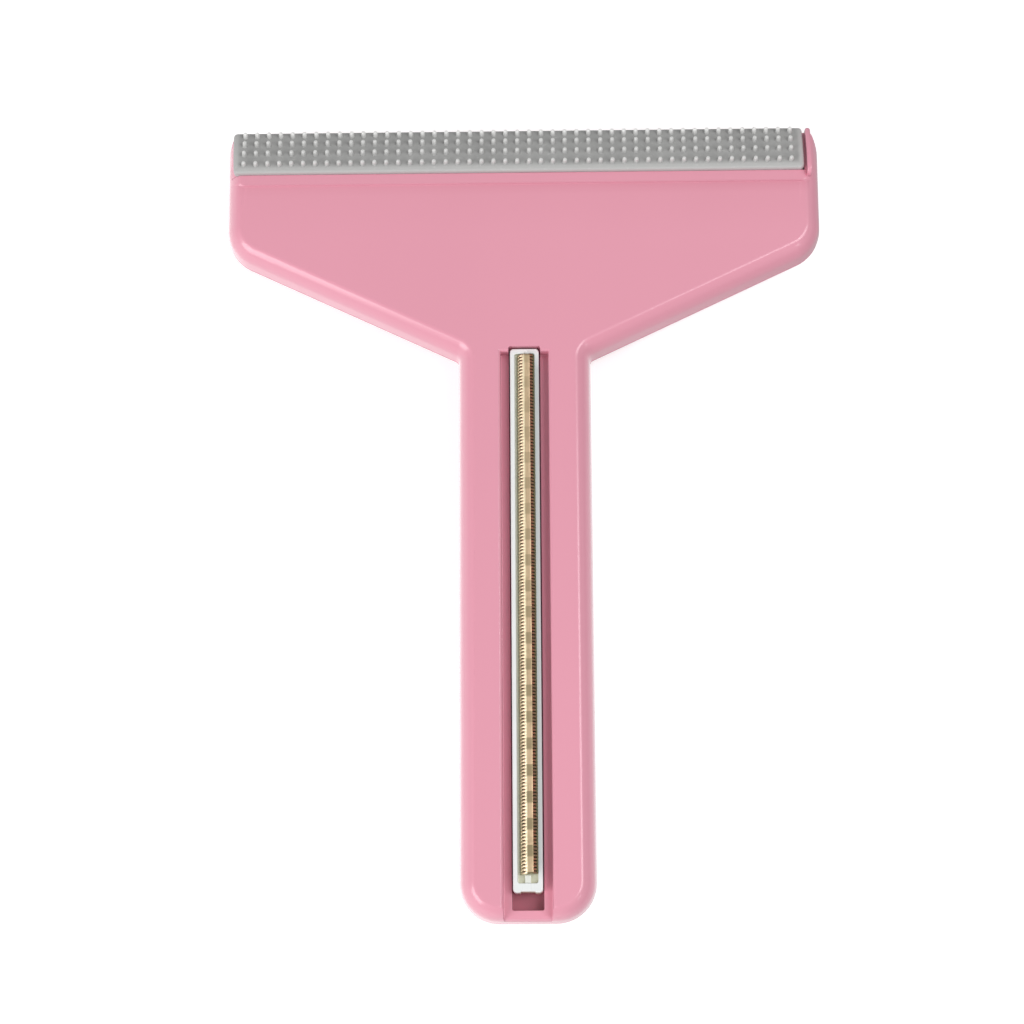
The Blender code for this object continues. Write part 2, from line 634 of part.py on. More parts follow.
def make_comb_carrier(parts, cutters):
    """The white carrier: a bar with two troughs and a rib that backs the comb."""
    half = CARRIER_WIDTH / 2
    carrier = block(
        "comb_carrier", (-half, CARRIER_START, CARRIER_BOTTOM),
        (half, CARRIER_STOP, CARRIER_TOP), parts)
    soften = carrier.modifiers.new("rounded_corners", "BEVEL")
    soften.width = CARRIER_CORNER
    soften.segments = 1
    soften.limit_method = "ANGLE"
    soften.angle_limit = SHARP_ANGLE

    inner = half - CARRIER_RIM
    sky = CARRIER_TOP + OVERRUN
    trough = block("trough", (-inner, TROUGH_START, TROUGH_FLOOR), (inner, TROUGH_STOP, sky), cutters)
    boolean(carrier, trough, "DIFFERENCE")
    notch = CARRIER_NOTCH_WIDTH / 2
    end_notch = block(
        "end_notch", (-notch, CARRIER_START - OVERRUN, CARRIER_BOTTOM - OVERRUN),
        (notch, CARRIER_START + CARRIER_NOTCH_DEPTH, sky), cutters)
    boolean(carrier, end_notch, "DIFFERENCE")

    foot = RIB_WIDTH / 2
    crest = RIB_TOP_WIDTH / 2
    sunk = TROUGH_FLOOR - TROUGH_DEPTH / 2
    outline = [(-foot, sunk), (foot, sunk), (foot, TROUGH_FLOOR), (crest, RIB_TOP),
               (-crest, RIB_TOP), (-foot, TROUGH_FLOOR)]
    section = [(x + COMB_SPINE_SHIFT, z) for x, z in outline]
    rib = rail(
        "rib", section, TROUGH_START - CARRIER_END_BLOCK / 2,
        TROUGH_STOP + CARRIER_TOP_BLOCK / 2, cutters)
    boolean(carrier, rib, "UNION")
    wide = RIB_END_WIDTH / 2
    rib_end = block(
        "rib_end", (-wide, TROUGH_START - CARRIER_END_BLOCK / 2, sunk),
        (wide, COMB_START - CLEARANCE, CARRIER_TOP - CLEARANCE), cutters)
    boolean(carrier, rib_end, "UNION")
    return carrier


def make_brass_comb(parts):
    """A folded strip of sheet brass: a flat spine and two flanks cut into teeth.

    The spine is a bar, sliced at the edges of every slot. The teeth are extruded from
    the side faces between the slots and moved down to the slope of their flank. The left
    flank is the wider and flatter one.
    """
    half = COMB_SPINE_WIDTH / 2
    flanks = []
    for side, run in ((-1, COMB_LEFT_RUN), (1, COMB_RIGHT_RUN)):
        lean = run / COMB_FLANK_DROP
        wall = COMB_SHEET * math.hypot(1.0, lean)
        spine = COMB_SPINE_SHIFT + side * half
        inner = spine - side * (wall - COMB_SHEET * lean)
        flanks.append((side, spine, inner, spine + side * run, spine + side * (run - wall)))
    left, right = flanks
    section = [(left[2], COMB_INSIDE), (right[2], COMB_INSIDE),
               (right[1], COMB_TOP), (left[1], COMB_TOP)]
    comb = rail("brass_comb", section, COMB_START, COMB_STOP, parts)

    shape = bmesh.new()
    shape.from_mesh(comb.data)
    for number in range(COMB_SLOTS):
        start = COMB_START + SLOT_PITCH * number + COMB_TOOTH_WIDTH
        for y in (start, start + COMB_SLOT_WIDTH):
            everything = shape.verts[:] + shape.edges[:] + shape.faces[:]
            bmesh.ops.bisect_plane(
                shape, geom=everything, dist=WELD, plane_co=(0, y, 0), plane_no=(0, 1, 0))
    for side, spine, inner, foot, inner_foot in flanks:
        roots = []
        for face in shape.faces:
            middle = face.calc_center_median()
            along = (middle.y - COMB_START) % SLOT_PITCH
            if inner * side < middle.x * side < spine * side and along < COMB_TOOTH_WIDTH:
                roots.append(face)
        teeth = bmesh.ops.extrude_discrete_faces(shape, faces=roots)["faces"]
        ends = {vert for face in teeth for vert in face.verts}
        outer = [vert for vert in ends if vert.co.z > COMB_TOP - WELD]
        under = [vert for vert in ends if vert.co.z < COMB_INSIDE + WELD]
        bmesh.ops.translate(shape, vec=(foot - spine, 0.0, COMB_BOTTOM - COMB_TOP), verts=outer)
        bmesh.ops.translate(
            shape, vec=(inner_foot - inner, 0.0, COMB_BOTTOM - COMB_INSIDE), verts=under)
    shape.to_mesh(comb.data)
    shape.free()
    return comb


def make_joint_empties(collection):
    """The origin of the tool, and one empty on each sliding axis."""
    origin = bpy.data.objects.new("tool_origin", None)
    origin.location = (0.0, -OVERALL_LENGTH / 2, 0.0)
    strip_y, strip_z = polar(SEAT_RADIUS, PAD_MIDDLE_ANGLE)
    strip_slide = bpy.data.objects.new("strip_slide", None)
    strip_slide.location = (0.0, strip_y, strip_z)
    comb_lift = bpy.data.objects.new("comb_lift", None)
    comb_lift.location = (0.0, (CARRIER_START + CARRIER_STOP) / 2, CARRIER_BOTTOM)
    for empty in (origin, strip_slide, comb_lift):
        collection.objects.link(empty)
    strip_slide.parent = origin
    comb_lift.parent = origin
    return origin, strip_slide, comb_lift


def attach(item, empty):
    """Hang an object on an empty, with its mesh left in the outline's own frame."""
    item.parent = empty
    if empty.parent is not None:
        item.location = -empty.location


def main():
    clear_scene()
    parts = new_collection("carpet_lint_shaver")
    cutters = new_collection("cutters")

    pink = plastic("pink_plastic", (0.78, 0.325, 0.425), 0.40)
    grey = plastic("grey_silicone", (0.47, 0.47, 0.455), 0.60)
    white = plastic("white_plastic", (0.88, 0.90, 0.89), 0.40)
    brass = plastic("brass_sheet", (0.72, 0.53, 0.28), 0.30, metallic=1.0)

    origin, strip_slide, comb_lift = make_joint_empties(parts)
    pieces = (
        (make_front_shell(parts, cutters), pink, origin),
        (make_back_cover(parts, cutters), pink, origin),
        (make_silicone_strip(parts, cutters), grey, strip_slide),
        (make_strip_rail(parts), white, strip_slide),
        (make_comb_carrier(parts, cutters), white, comb_lift),
        (make_brass_comb(parts), brass, comb_lift),
    )
    for piece, material, empty in pieces:
        piece.data.materials.clear()
        piece.data.materials.append(material)
        attach(piece, empty)
    for cutter in cutters.objects:
        cutter.display_type = "WIRE"
        cutter.hide_render = True
        attach(cutter, origin)


main()
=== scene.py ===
"""Carpet lint shaver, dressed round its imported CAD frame.

Each piece is a surface worked out with numpy and rides on the body of the CAD part that
it stands for. Units are metres. +X runs along the head, +Y from the handle to the head
and +Z out of the front face.
"""
import math

import bpy
import numpy as np
from mathutils import Matrix, Vector


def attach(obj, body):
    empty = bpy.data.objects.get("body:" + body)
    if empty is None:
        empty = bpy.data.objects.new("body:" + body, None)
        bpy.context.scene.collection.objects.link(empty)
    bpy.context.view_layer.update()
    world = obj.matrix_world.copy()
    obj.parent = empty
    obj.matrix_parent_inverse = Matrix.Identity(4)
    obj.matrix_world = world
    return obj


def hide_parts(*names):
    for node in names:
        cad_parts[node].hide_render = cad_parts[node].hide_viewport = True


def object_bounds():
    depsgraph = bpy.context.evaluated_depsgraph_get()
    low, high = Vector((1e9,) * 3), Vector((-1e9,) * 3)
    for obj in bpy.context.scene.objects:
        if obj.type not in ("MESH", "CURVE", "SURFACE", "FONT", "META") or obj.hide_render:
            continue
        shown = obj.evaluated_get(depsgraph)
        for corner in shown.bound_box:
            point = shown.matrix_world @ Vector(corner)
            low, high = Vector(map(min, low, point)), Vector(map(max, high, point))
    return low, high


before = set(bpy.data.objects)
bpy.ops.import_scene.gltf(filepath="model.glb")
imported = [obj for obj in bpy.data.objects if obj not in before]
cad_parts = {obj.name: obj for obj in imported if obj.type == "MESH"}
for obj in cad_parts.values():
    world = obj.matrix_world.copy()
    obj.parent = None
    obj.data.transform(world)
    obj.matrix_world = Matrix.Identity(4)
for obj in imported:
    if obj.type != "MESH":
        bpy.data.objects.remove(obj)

bl_info = {
    "name": "Carpet Lint Shaver",
    "version": (1, 0, 0),
    "blender": (4, 5, 0),
    "location": "3D View > Sidebar > Lint Shaver",
    "description": "Builds the moulded body, the studded strip and the spare comb of a carpet lint shaver",
    "category": "Add Mesh",
}

CAD_LOW, CAD_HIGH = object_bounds()
HANDLE_END = CAD_LOW.y
TOOL_LENGTH = CAD_HIGH.y - CAD_LOW.y

# How far a cutter or a blank runs past what it meets
OVERRUN = 0.006
# What turns the right half of a plan into the left half
MIRROR = np.array((-1.0, 1.0))


class BodySizes(bpy.types.PropertyGroup):
    """Sizes of the two moulded halves of the body."""
    head_width: bpy.props.FloatProperty(
        name="Head width", description="Width of the head at the parting line",
        default=0.140, unit="LENGTH")
    handle_width: bpy.props.FloatProperty(
        name="Handle width", description="Width of the handle at the parting line",
        default=0.0308, unit="LENGTH")
    head_depth: bpy.props.FloatProperty(
        name="Head depth", description="From the neck to the edge of the studded strip",
        default=0.0555, unit="LENGTH")
    top_setback: bpy.props.FloatProperty(
        name="Top setback", description="How far the body's top stays behind the strip's edge",
        default=0.0004, unit="LENGTH")
    end_radius: bpy.props.FloatProperty(
        name="Handle end radius", description="Plan radius at the end of the handle",
        default=0.0090, unit="LENGTH")
    neck_radius: bpy.props.FloatProperty(
        name="Neck radius", description="Plan radius where the handle meets the head",
        default=0.0014, unit="LENGTH")
    corner_radius: bpy.props.FloatProperty(
        name="Head corner radius", description="Plan radius at the lower corners of the head",
        default=0.0095, unit="LENGTH")
    top_radius: bpy.props.FloatProperty(
        name="Left top corner width", description="Width of the rounding beside the open end",
        default=0.0036, unit="LENGTH")
    top_drop: bpy.props.FloatProperty(
        name="Left top corner height", description="Height of the rounding beside the open end",
        default=0.0080, unit="LENGTH")
    right_top_radius: bpy.props.FloatProperty(
        name="Right top corner width", description="Width of the rounding beside the end wall",
        default=0.0048, unit="LENGTH")
    right_top_drop: bpy.props.FloatProperty(
        name="Right top corner height", description="Height of the rounding beside the end wall",
        default=0.0090, unit="LENGTH")
    shoulder_angle: bpy.props.FloatProperty(
        name="Shoulder angle", description="Slant of the head's lower edges",
        default=math.radians(25.3), unit="ROTATION")
    parting: bpy.props.FloatProperty(
        name="Parting height", description="Height of the joint between the two halves",
        default=0.0070, unit="LENGTH")
    groove: bpy.props.FloatProperty(
        name="Parting groove", description="Width of the fine groove at the joint",
        default=0.0003, unit="LENGTH")
    groove_depth: bpy.props.FloatProperty(
        name="Parting groove depth", description="Depth of the groove at the joint",
        default=0.0005, unit="LENGTH")
    front: bpy.props.FloatProperty(
        name="Front height", description="Height of the flat front face",
        default=0.0150, unit="LENGTH")
    land: bpy.props.FloatProperty(
        name="Parting land", description="Upright band on each side of the joint",
        default=0.0006, unit="LENGTH")
    lean: bpy.props.FloatProperty(
        name="Side lean", description="How far the lower part of a side leans from upright",
        default=math.radians(6.0), unit="ROTATION")
    side_radius: bpy.props.FloatProperty(
        name="Side radius", description="Radius of the wide curve of the sides",
        default=0.0062, unit="LENGTH")
    crest_radius: bpy.props.FloatProperty(
        name="Crest radius", description="Small rounding where a side meets the front",
        default=0.0016, unit="LENGTH")
    crest_angle: bpy.props.FloatProperty(
        name="Crest angle", description="How far the crest turns before the wide curve",
        default=math.radians(36.0), unit="ROTATION")
    back_radius: bpy.props.FloatProperty(
        name="Back edge radius", description="Rounding between the sides and the back",
        default=0.0045, unit="LENGTH")
    back_draft: bpy.props.FloatProperty(
        name="Back draft", description="How far the cover's side leans in",
        default=0.0006, unit="LENGTH")
    back_top_radius: bpy.props.FloatProperty(
        name="Back top radius", description="Rounding of the back along the top of the head",
        default=0.0015, unit="LENGTH")
    lip_rise: bpy.props.FloatProperty(
        name="Lip rise", description="How far the border of the strip stands above the front",
        default=0.0004, unit="LENGTH")
    lip_width: bpy.props.FloatProperty(
        name="Lip width", description="Width of the raised border below the strip",
        default=0.0030, unit="LENGTH")
    end_wall: bpy.props.FloatProperty(
        name="End wall", description="Thickness of the wall at the right end of the channel",
        default=0.0015, unit="LENGTH")
    end_wall_proud: bpy.props.FloatProperty(
        name="End wall height", description="How far that wall stands above the strip's pad",
        default=0.0010, unit="LENGTH")
    colour: bpy.props.FloatVectorProperty(
        name="Body colour", description="Colour of the moulded plastic",
        subtype="COLOR", size=3, default=(0.81, 0.33, 0.43), min=0.0, max=1.0)


class StripSizes(bpy.types.PropertyGroup):
    """Sizes of the studded strip and its rail, which are bent round one centre line."""
    radius: bpy.props.FloatProperty(
        name="Pad radius", description="Radius that the face of the pad is bent to",
        default=0.0240, unit="LENGTH")
    thickness: bpy.props.FloatProperty(
        name="Pad thickness", description="Thickness of the silicone pad",
        default=0.0020, unit="LENGTH")
    middle: bpy.props.FloatProperty(
        name="Pad lean", description="How far the middle of the pad leans to the top",
        default=math.radians(20.0), unit="ROTATION")
    pitch: bpy.props.FloatProperty(
        name="Stud pitch", description="Distance between neighbouring studs",
        default=0.0028, unit="LENGTH")
    rows: bpy.props.IntProperty(name="Stud rows", description="Rows of studs", default=4)
    columns: bpy.props.IntProperty(name="Stud columns", description="Columns of studs", default=47)
    edge_border: bpy.props.FloatProperty(
        name="Edge border", description="From the outer rows to the long edges",
        default=0.0021, unit="LENGTH")
    end_border: bpy.props.FloatProperty(
        name="Left border", description="From the first column to the left end",
        default=0.0025, unit="LENGTH")
    right_border: bpy.props.FloatProperty(
        name="Right border", description="From the last column to the right end",
        default=0.0030, unit="LENGTH")
    left_inset: bpy.props.FloatProperty(
        name="Left inset", description="From the side of the head to the pad's left end",
        default=0.0018, unit="LENGTH")
    stud_radius: bpy.props.FloatProperty(
        name="Stud radius", description="Radius of a stud near its root",
        default=0.00058, unit="LENGTH")
    tip_radius: bpy.props.FloatProperty(
        name="Stud tip radius", description="Radius of a stud near its tip",
        default=0.00050, unit="LENGTH")
    stud_height: bpy.props.FloatProperty(
        name="Stud height", description="How far a stud stands above the pad",
        default=0.00145, unit="LENGTH")
    colour: bpy.props.FloatVectorProperty(
        name="Silicone colour", description="Colour of the silicone",
        subtype="COLOR", size=3, default=(0.475, 0.475, 0.467), min=0.0, max=1.0)


class CombSizes(bpy.types.PropertyGroup):
    """Sizes of the handle's recess and of the spare cartridge that it holds."""
    recess_width: bpy.props.FloatProperty(
        name="Recess width", description="Width of the shallow recess in the handle",
        default=0.0111, unit="LENGTH")
    recess_depth: bpy.props.FloatProperty(
        name="Recess depth", description="Depth of the shallow recess",
        default=0.0035, unit="LENGTH")
    recess_top: bpy.props.FloatProperty(
        name="Recess top", description="From the handle's end to the top of the recess",
        default=0.1310, unit="LENGTH")
    slot_width: bpy.props.FloatProperty(
        name="Slot width", description="Width of the deeper slot for the cartridge",
        default=0.0072, unit="LENGTH")
    slot_start: bpy.props.FloatProperty(
        name="Slot start", description="From the handle's end to the slot",
        default=0.0027, unit="LENGTH")
    slot_stop: bpy.props.FloatProperty(
        name="Slot stop", description="From the handle's end to the far end of the slot",
        default=0.1321, unit="LENGTH")
    slot_floor: bpy.props.FloatProperty(
        name="Slot floor", description="Height of the slot's floor",
        default=0.0074, unit="LENGTH")
    carrier_width: bpy.props.FloatProperty(
        name="Carrier width", description="Width of the white carrier",
        default=0.0067, unit="LENGTH")
    carrier_rim: bpy.props.FloatProperty(
        name="Carrier rim", description="Wall thickness beside the troughs",
        default=0.00105, unit="LENGTH")
    trough_depth: bpy.props.FloatProperty(
        name="Trough depth", description="Depth of the two troughs",
        default=0.0011, unit="LENGTH")
    pitch: bpy.props.FloatProperty(
        name="Tooth pitch", description="Distance between neighbouring teeth",
        default=0.00076, unit="LENGTH")
    slit: bpy.props.FloatProperty(
        name="Tooth slit", description="Width of the slit between two teeth",
        default=0.00025, unit="LENGTH")
    sheet: bpy.props.FloatProperty(
        name="Sheet thickness", description="Thickness of the brass sheet",
        default=0.00030, unit="LENGTH")
    spine_width: bpy.props.FloatProperty(
        name="Spine width", description="Width of the comb's flat spine",
        default=0.0012, unit="LENGTH")
    spine_shift: bpy.props.FloatProperty(
        name="Spine shift", description="How far the spine stands to the right of the middle",
        default=0.0005, unit="LENGTH")
    left_run: bpy.props.FloatProperty(
        name="Left flank", description="Width of the comb's left flank, seen from the front",
        default=0.00165, unit="LENGTH")
    right_run: bpy.props.FloatProperty(
        name="Right flank", description="Width of the comb's right flank, seen from the front",
        default=0.0014, unit="LENGTH")
    carrier_colour: bpy.props.FloatVectorProperty(
        name="Carrier colour", description="Colour of the white plastic",
        subtype="COLOR", size=3, default=(0.86, 0.89, 0.885), min=0.0, max=1.0)
    brass_colour: bpy.props.FloatVectorProperty(
        name="Brass colour", description="Colour of the brass sheet",
        subtype="COLOR", size=3, default=(0.56, 0.42, 0.27), min=0.0, max=1.0)


class StageSizes(bpy.types.PropertyGroup):
    """The floor, the lamps and the camera."""
    lens: bpy.props.FloatProperty(
        name="Lens", description="Focal length, in millimetres, on a 36 mm sensor", default=91.72)
    camera_place: bpy.props.FloatVectorProperty(
        name="Camera place", description="Where the camera stands",
        subtype="TRANSLATION", size=3, default=(0.004987, -0.126146, 0.5986))
    camera_tilt: bpy.props.FloatProperty(
        name="Camera tilt", description="How far the view leans from straight down",
        default=math.radians(12.18), unit="ROTATION")
    camera_yaw: bpy.props.FloatProperty(
        name="Camera yaw", description="How far the view leans to the left",
        default=math.radians(0.79), unit="ROTATION")
    camera_roll: bpy.props.FloatProperty(
        name="Camera roll", description="How far the picture turns anticlockwise",
        default=math.radians(0.343), unit="ROTATION")
    sky: bpy.props.FloatProperty(
        name="Sky level", description="Level of the even light from all round", default=0.40)
    gloss_sky: bpy.props.FloatProperty(
        name="Sky in gloss", description="Level of the sky as gloss and metal mirror it", default=0.7)
    key: bpy.props.FloatProperty(
        name="Key lamp", description="Power of the soft lamp at the lower left", default=8.4)
    top: bpy.props.FloatProperty(
        name="Top lamp", description="Power of the soft lamp above, on the right", default=5.7)
    glint: bpy.props.FloatProperty(
        name="Glint lamp", description="Power of the small lamp at the lower right", default=0.22)
    floor_colour: bpy.props.FloatVectorProperty(
        name="Floor colour", description="Colour of the floor",
        subtype="COLOR", size=3, default=(0.70, 0.70, 0.70), min=0.0, max=1.0)


def sizes():
    """The four property groups of the open scene."""
    scene = bpy.context.scene
    return scene.shaver_body, scene.shaver_strip, scene.shaver_comb, scene.shaver_stage


def new_piece(name, points, faces):
    """A mesh object from an array of points and a list of faces, turned to face outwards.

    The volume is the sum of the signed tetrahedra between the origin and a fan of
    triangles over each face. Where it is negative, every face is turned round.
    """
    fans = [(f[0], f[i], f[i + 1]) for f in faces for i in range(1, len(f) - 1)]
    corner = points[np.array(fans)]
    volume = np.einsum("ij,ij->", corner[:, 0], np.cross(corner[:, 1], corner[:, 2]))
    if volume < 0:
        faces = [f[::-1] for f in faces]
    mesh = bpy.data.meshes.new(name)
    mesh.from_pydata(points.tolist(), [], faces)
    mesh.validate()
    piece = bpy.data.objects.new(name, mesh)
    bpy.context.scene.collection.objects.link(piece)
    return piece


def rings_to_faces(rings, around, first=0):
    """Quads between closed rings of points, and one face over each end.

    Ring i, point j joins ring i + 1 and point j + 1, counted round the ring.
    """
    i, j = np.meshgrid(np.arange(rings - 1), np.arange(around), indexing="ij")
    after = (j + 1) % around
    quads = np.stack([i * around + j, i * around + after,
                      (i + 1) * around + after, (i + 1) * around + j], -1).reshape(-1, 4) + first
    low = (np.arange(around)[::-1] + first).tolist()
    high = (np.arange(around) + (rings - 1) * around + first).tolist()
    return quads.tolist() + [low, high]


def ring_piece(name, grid):
    """A closed piece from a grid of rings, one after another, with flat ends."""
    rings, around = grid.shape[:2]
    return new_piece(name, grid.reshape(-1, 3), rings_to_faces(rings, around))


def arc(centre, radius, start, stop, steps):
    """Points and outward directions on an arc: centre + radius (cos a, sin a)."""
    angle = np.linspace(start, stop, steps + 1)
    way = np.stack([np.cos(angle), np.sin(angle)], 1)
    return np.array(centre) + radius * way, way


def soften(piece, angle):
    """Smooth shading with sharp creases past an angle, and flats kept flat by face area."""
    mesh = piece.data
    mesh.shade_smooth()
    mesh.set_sharp_from_angle(angle=angle)
    weight = piece.modifiers.new("weighted_normals", "WEIGHTED_NORMAL")
    weight.keep_sharp = True
    return piece


def combine(target, others, operation):
    """Join, cut or intersect a piece with others by exact Booleans, one after another."""
    for other in others:
        step = target.modifiers.new(operation, "BOOLEAN")
        step.operation, step.solver, step.object = operation, "EXACT", other
    graph = bpy.context.evaluated_depsgraph_get()
    mesh = bpy.data.meshes.new_from_object(target.evaluated_get(graph))
    target.modifiers.clear()
    old = target.data
    target.data = mesh
    mesh.name = target.name
    bpy.data.meshes.remove(old)
    for other in others:
        spare = other.data
        bpy.data.objects.remove(other, do_unlink=True)
        bpy.data.meshes.remove(spare)
    return target


def shoulder_height(body, x):
    """Where the slanted edge of the head lies, at a distance from the middle."""
    neck = TOOL_LENGTH - body.head_depth
    return neck + (x - body.handle_width / 2) * math.tan(body.shoulder_angle)


def both_sides(half):
    """The right half of a plan outline, and then its mirror image on the way back."""
    return np.concatenate([half, half[::-1] * MIRROR])


def body_outline(body, top):
    """Plan outline of the T and the direction that points inwards at each of its points.

    The right half is a path of arcs: the handle's end, the neck, which bends the other
    way, and the head's lower corner. Its mirror image gives the left half. A point drawn
    in by d along its direction lies on the outline of a T that is d smaller all round.
    """
    handle = body.handle_width / 2
    head = body.head_width / 2
    turn = math.pi / 2 - body.shoulder_angle
    reach = math.tan(turn / 2)
    end, end_way = arc((handle - body.end_radius, body.end_radius), body.end_radius,
                       -math.pi / 2, 0.0, 20)
    neck_centre = (handle + body.neck_radius, shoulder_height(body, handle) - body.neck_radius * reach)
    neck, neck_way = arc(neck_centre, body.neck_radius, math.pi, math.pi - turn, 10)
    corner_centre = (head - body.corner_radius,
                     shoulder_height(body, head) + body.corner_radius * reach)
    corner, corner_way = arc(corner_centre, body.corner_radius, -turn, 0.0, 18)
    points = np.concatenate([end, neck, corner, [(head, top)]])
    inward = np.concatenate([-end_way, neck_way, -corner_way, [(-1.0, -0.3)]])
    return both_sides(points), both_sides(inward)


def pillow(name, points, inward, steps):
    """A closed form with a rounded side: point + inset * inward, at the step's height."""
    inset, height = np.array(steps).T
    plan = points[None] + inset[:, None, None] * inward[None]
    tall = np.broadcast_to(height[:, None, None], plan.shape[:2] + (1,))
    return ring_piece(name, np.concatenate([plan, tall], 2))


def side_steps(body, front):
    """(inset, height) down the side of the front half, from the joint to the front plane.

    A tongue that hides in the cover, a fine rounding, an upright land and a leaning wall.
    Then two arcs, where t is the slope's angle from the front plane: a wide one of radius
    R with inset R (cos lean - sin t) and height R (cos t - sin lean), and a small one at
    the crest, which meets the wide one and the front plane without a crease.
    """
    base = body.parting + body.groove / 2
    fine = body.groove / 2
    small, wide, lean, crest = body.crest_radius, body.side_radius, body.lean, body.crest_angle
    shoulder = front - small * (1 - math.cos(crest)) - wide * (math.cos(crest) - math.sin(lean))
    wall = (shoulder - body.parting - body.land) * math.tan(lean)
    steps = [(body.groove_depth, body.parting - body.groove), (body.groove_depth, base),
             (fine, base), (fine * 0.3, base + fine * 0.3), (0.0, base + fine),
             (0.0, body.parting + body.land)]
    steps += [(wall + wide * (math.cos(lean) - math.sin(t)),
               shoulder + wide * (math.cos(t) - math.sin(lean)))
              for t in np.linspace(math.pi / 2 - lean, crest, 11)]
    edge = steps[-1][0] + small * math.sin(crest)
    steps += [(edge - small * math.sin(t), front - small * (1 - math.cos(t)))
              for t in np.linspace(crest, 0.0, 7)[1:]]
    steps.append((edge + small, front))
    return steps


def cover_steps(body):
    """(inset, height) down the side of the cover: land, short lean and a quarter-round."""
    top = body.parting - body.groove / 2
    fine = body.groove / 2
    turn = np.linspace(0.0, math.pi / 2, 17)
    steps = [(fine, top), (fine * 0.3, top - fine * 0.3), (0.0, top - fine), (0.0, top - body.land)]
    steps += [(body.back_draft + body.back_radius * (1 - math.cos(a)),
               body.back_radius * (1 - math.sin(a))) for a in turn]
    steps.append((body.back_draft + body.back_radius * 1.2, 0.0))
    return steps


def head_limit(name, body):
    """The block that trims the top of the head: elliptical corners and a softened back edge.

    A corner is centre + (width cos a, height sin a). The right one is beside the end wall
    and the left one beside the channel's open end.
    """
    top = TOOL_LENGTH - body.top_setback
    reach = body.head_width
    unit, way = arc((0.0, 0.0), 1.0, 0.0, math.pi / 2, 16)
    right, left = (np.array((body.head_width / 2, top)) - span + unit * span
                   for span in ((body.right_top_radius, body.right_top_drop),
                                (body.top_radius, body.top_drop)))
    left = left[::-1] * MIRROR
    points = np.concatenate([[(reach, -reach), (reach, right[0, 1])], right, left,
                             [(-reach, left[-1, 1]), (-reach, -reach)]])
    side = np.zeros((2, 2))
    inward = np.concatenate([side, -way, -way[::-1] * MIRROR, side])
    turn = np.linspace(0.0, math.pi / 2, 9)
    soft = body.back_top_radius
    steps = [(soft, -soft)] + [(soft * (1 - math.sin(a)), soft * (1 - math.cos(a))) for a in turn]
    steps.append((0.0, body.front * 2))
    return pillow(name, points, inward, steps)


# The CAD's pad: its lower edge over the front face, and the rounding of its long edges
PAD_EDGE_PROUD = 0.0013
PAD_EDGE_RADIUS = 0.0009
PAD_EDGE_SHARE = 0.3


class PadFrame:
    """The bent frame of the head: a place is (x, angle from upright, distance from the centre line)."""

    def __init__(self, body, strip):
        step = strip.pitch / strip.radius
        half = step * (strip.rows - 1) / 2 + strip.edge_border / strip.radius
        rounding = PAD_EDGE_SHARE * PAD_EDGE_RADIUS
        reach = (strip.radius - rounding) * math.sin(strip.middle + half - rounding / strip.radius)
        self.low, self.high, self.step = strip.middle - half, strip.middle + half, step
        self.y = TOOL_LENGTH - reach
        self.z = body.front + PAD_EDGE_PROUD - strip.radius * math.cos(self.low)
        self.left = strip.left_inset - body.head_width / 2
        self.right = self.left + strip.end_border + strip.right_border + strip.pitch * (strip.columns - 1)

    def place(self, radius, angle):
        """(y, z) at an angle and a distance: centre + radius (sin a, cos a)."""
        return np.stack([self.y + radius * np.sin(angle), self.z + radius * np.cos(angle)], -1)

    def line(self, radius, start, stop, steps):
        """Places on an arc round the centre line."""
        return self.place(radius, np.linspace(start, stop, steps + 1))


def bar(name, section, start, stop):
    """A (y, z) section carried along x."""
    grid = np.empty((2, len(section), 3))
    grid[:, :, 0] = np.array((start, stop))[:, None]
    grid[:, :, 1:] = section[None]
    return ring_piece(name, grid)


# The gaps between pieces, and the rail with its T-shaped foot and the groove that holds it
CLEARANCE = 0.0003
FINE_GAP = 0.00005
END_GAP = 0.0006
RAIL_THICKNESS = 0.0010
GROOVE_LIP = 0.0010
FOOT_THICKNESS = 0.0010
FOOT_WIDTH = 0.0048
NECK_WIDTH = 0.0024
FOOT_ANGLE = math.radians(16.0)


def tee_section(pad, radii, halves, low, high, steps):
    """A T in (y, z) from angle low to angle high: arcs at the seat and at the floor.

    radii are those of the seat, of the lips' underside and of the floor, and halves the
    half angles of the T's neck and foot.
    """
    seat, lip, floor = radii
    neck, foot = halves
    return np.concatenate([
        pad.line(seat, low, FOOT_ANGLE - neck, steps[0]),
        pad.place(lip, np.array([FOOT_ANGLE - neck, FOOT_ANGLE - foot])),
        pad.line(floor, FOOT_ANGLE - foot, FOOT_ANGLE + foot, steps[1]),
        pad.place(lip, np.array([FOOT_ANGLE + foot, FOOT_ANGLE + neck])),
        pad.line(seat, FOOT_ANGLE + neck, high, steps[0])])


def groove(strip, gap):
    """The radii and half angles of the T-shaped groove, or of what fills it but for a gap."""
    seat = strip.radius - strip.thickness - RAIL_THICKNESS - 2 * CLEARANCE
    lip = seat - GROOVE_LIP
    floor = lip - CLEARANCE - FOOT_THICKNESS - CLEARANCE
    neck = (NECK_WIDTH / 2 + CLEARANCE - gap) / seat
    foot = (FOOT_WIDTH / 2 + CLEARANCE - gap) / (lip - CLEARANCE)
    return (seat + gap, lip - gap, floor + gap), (neck, foot)


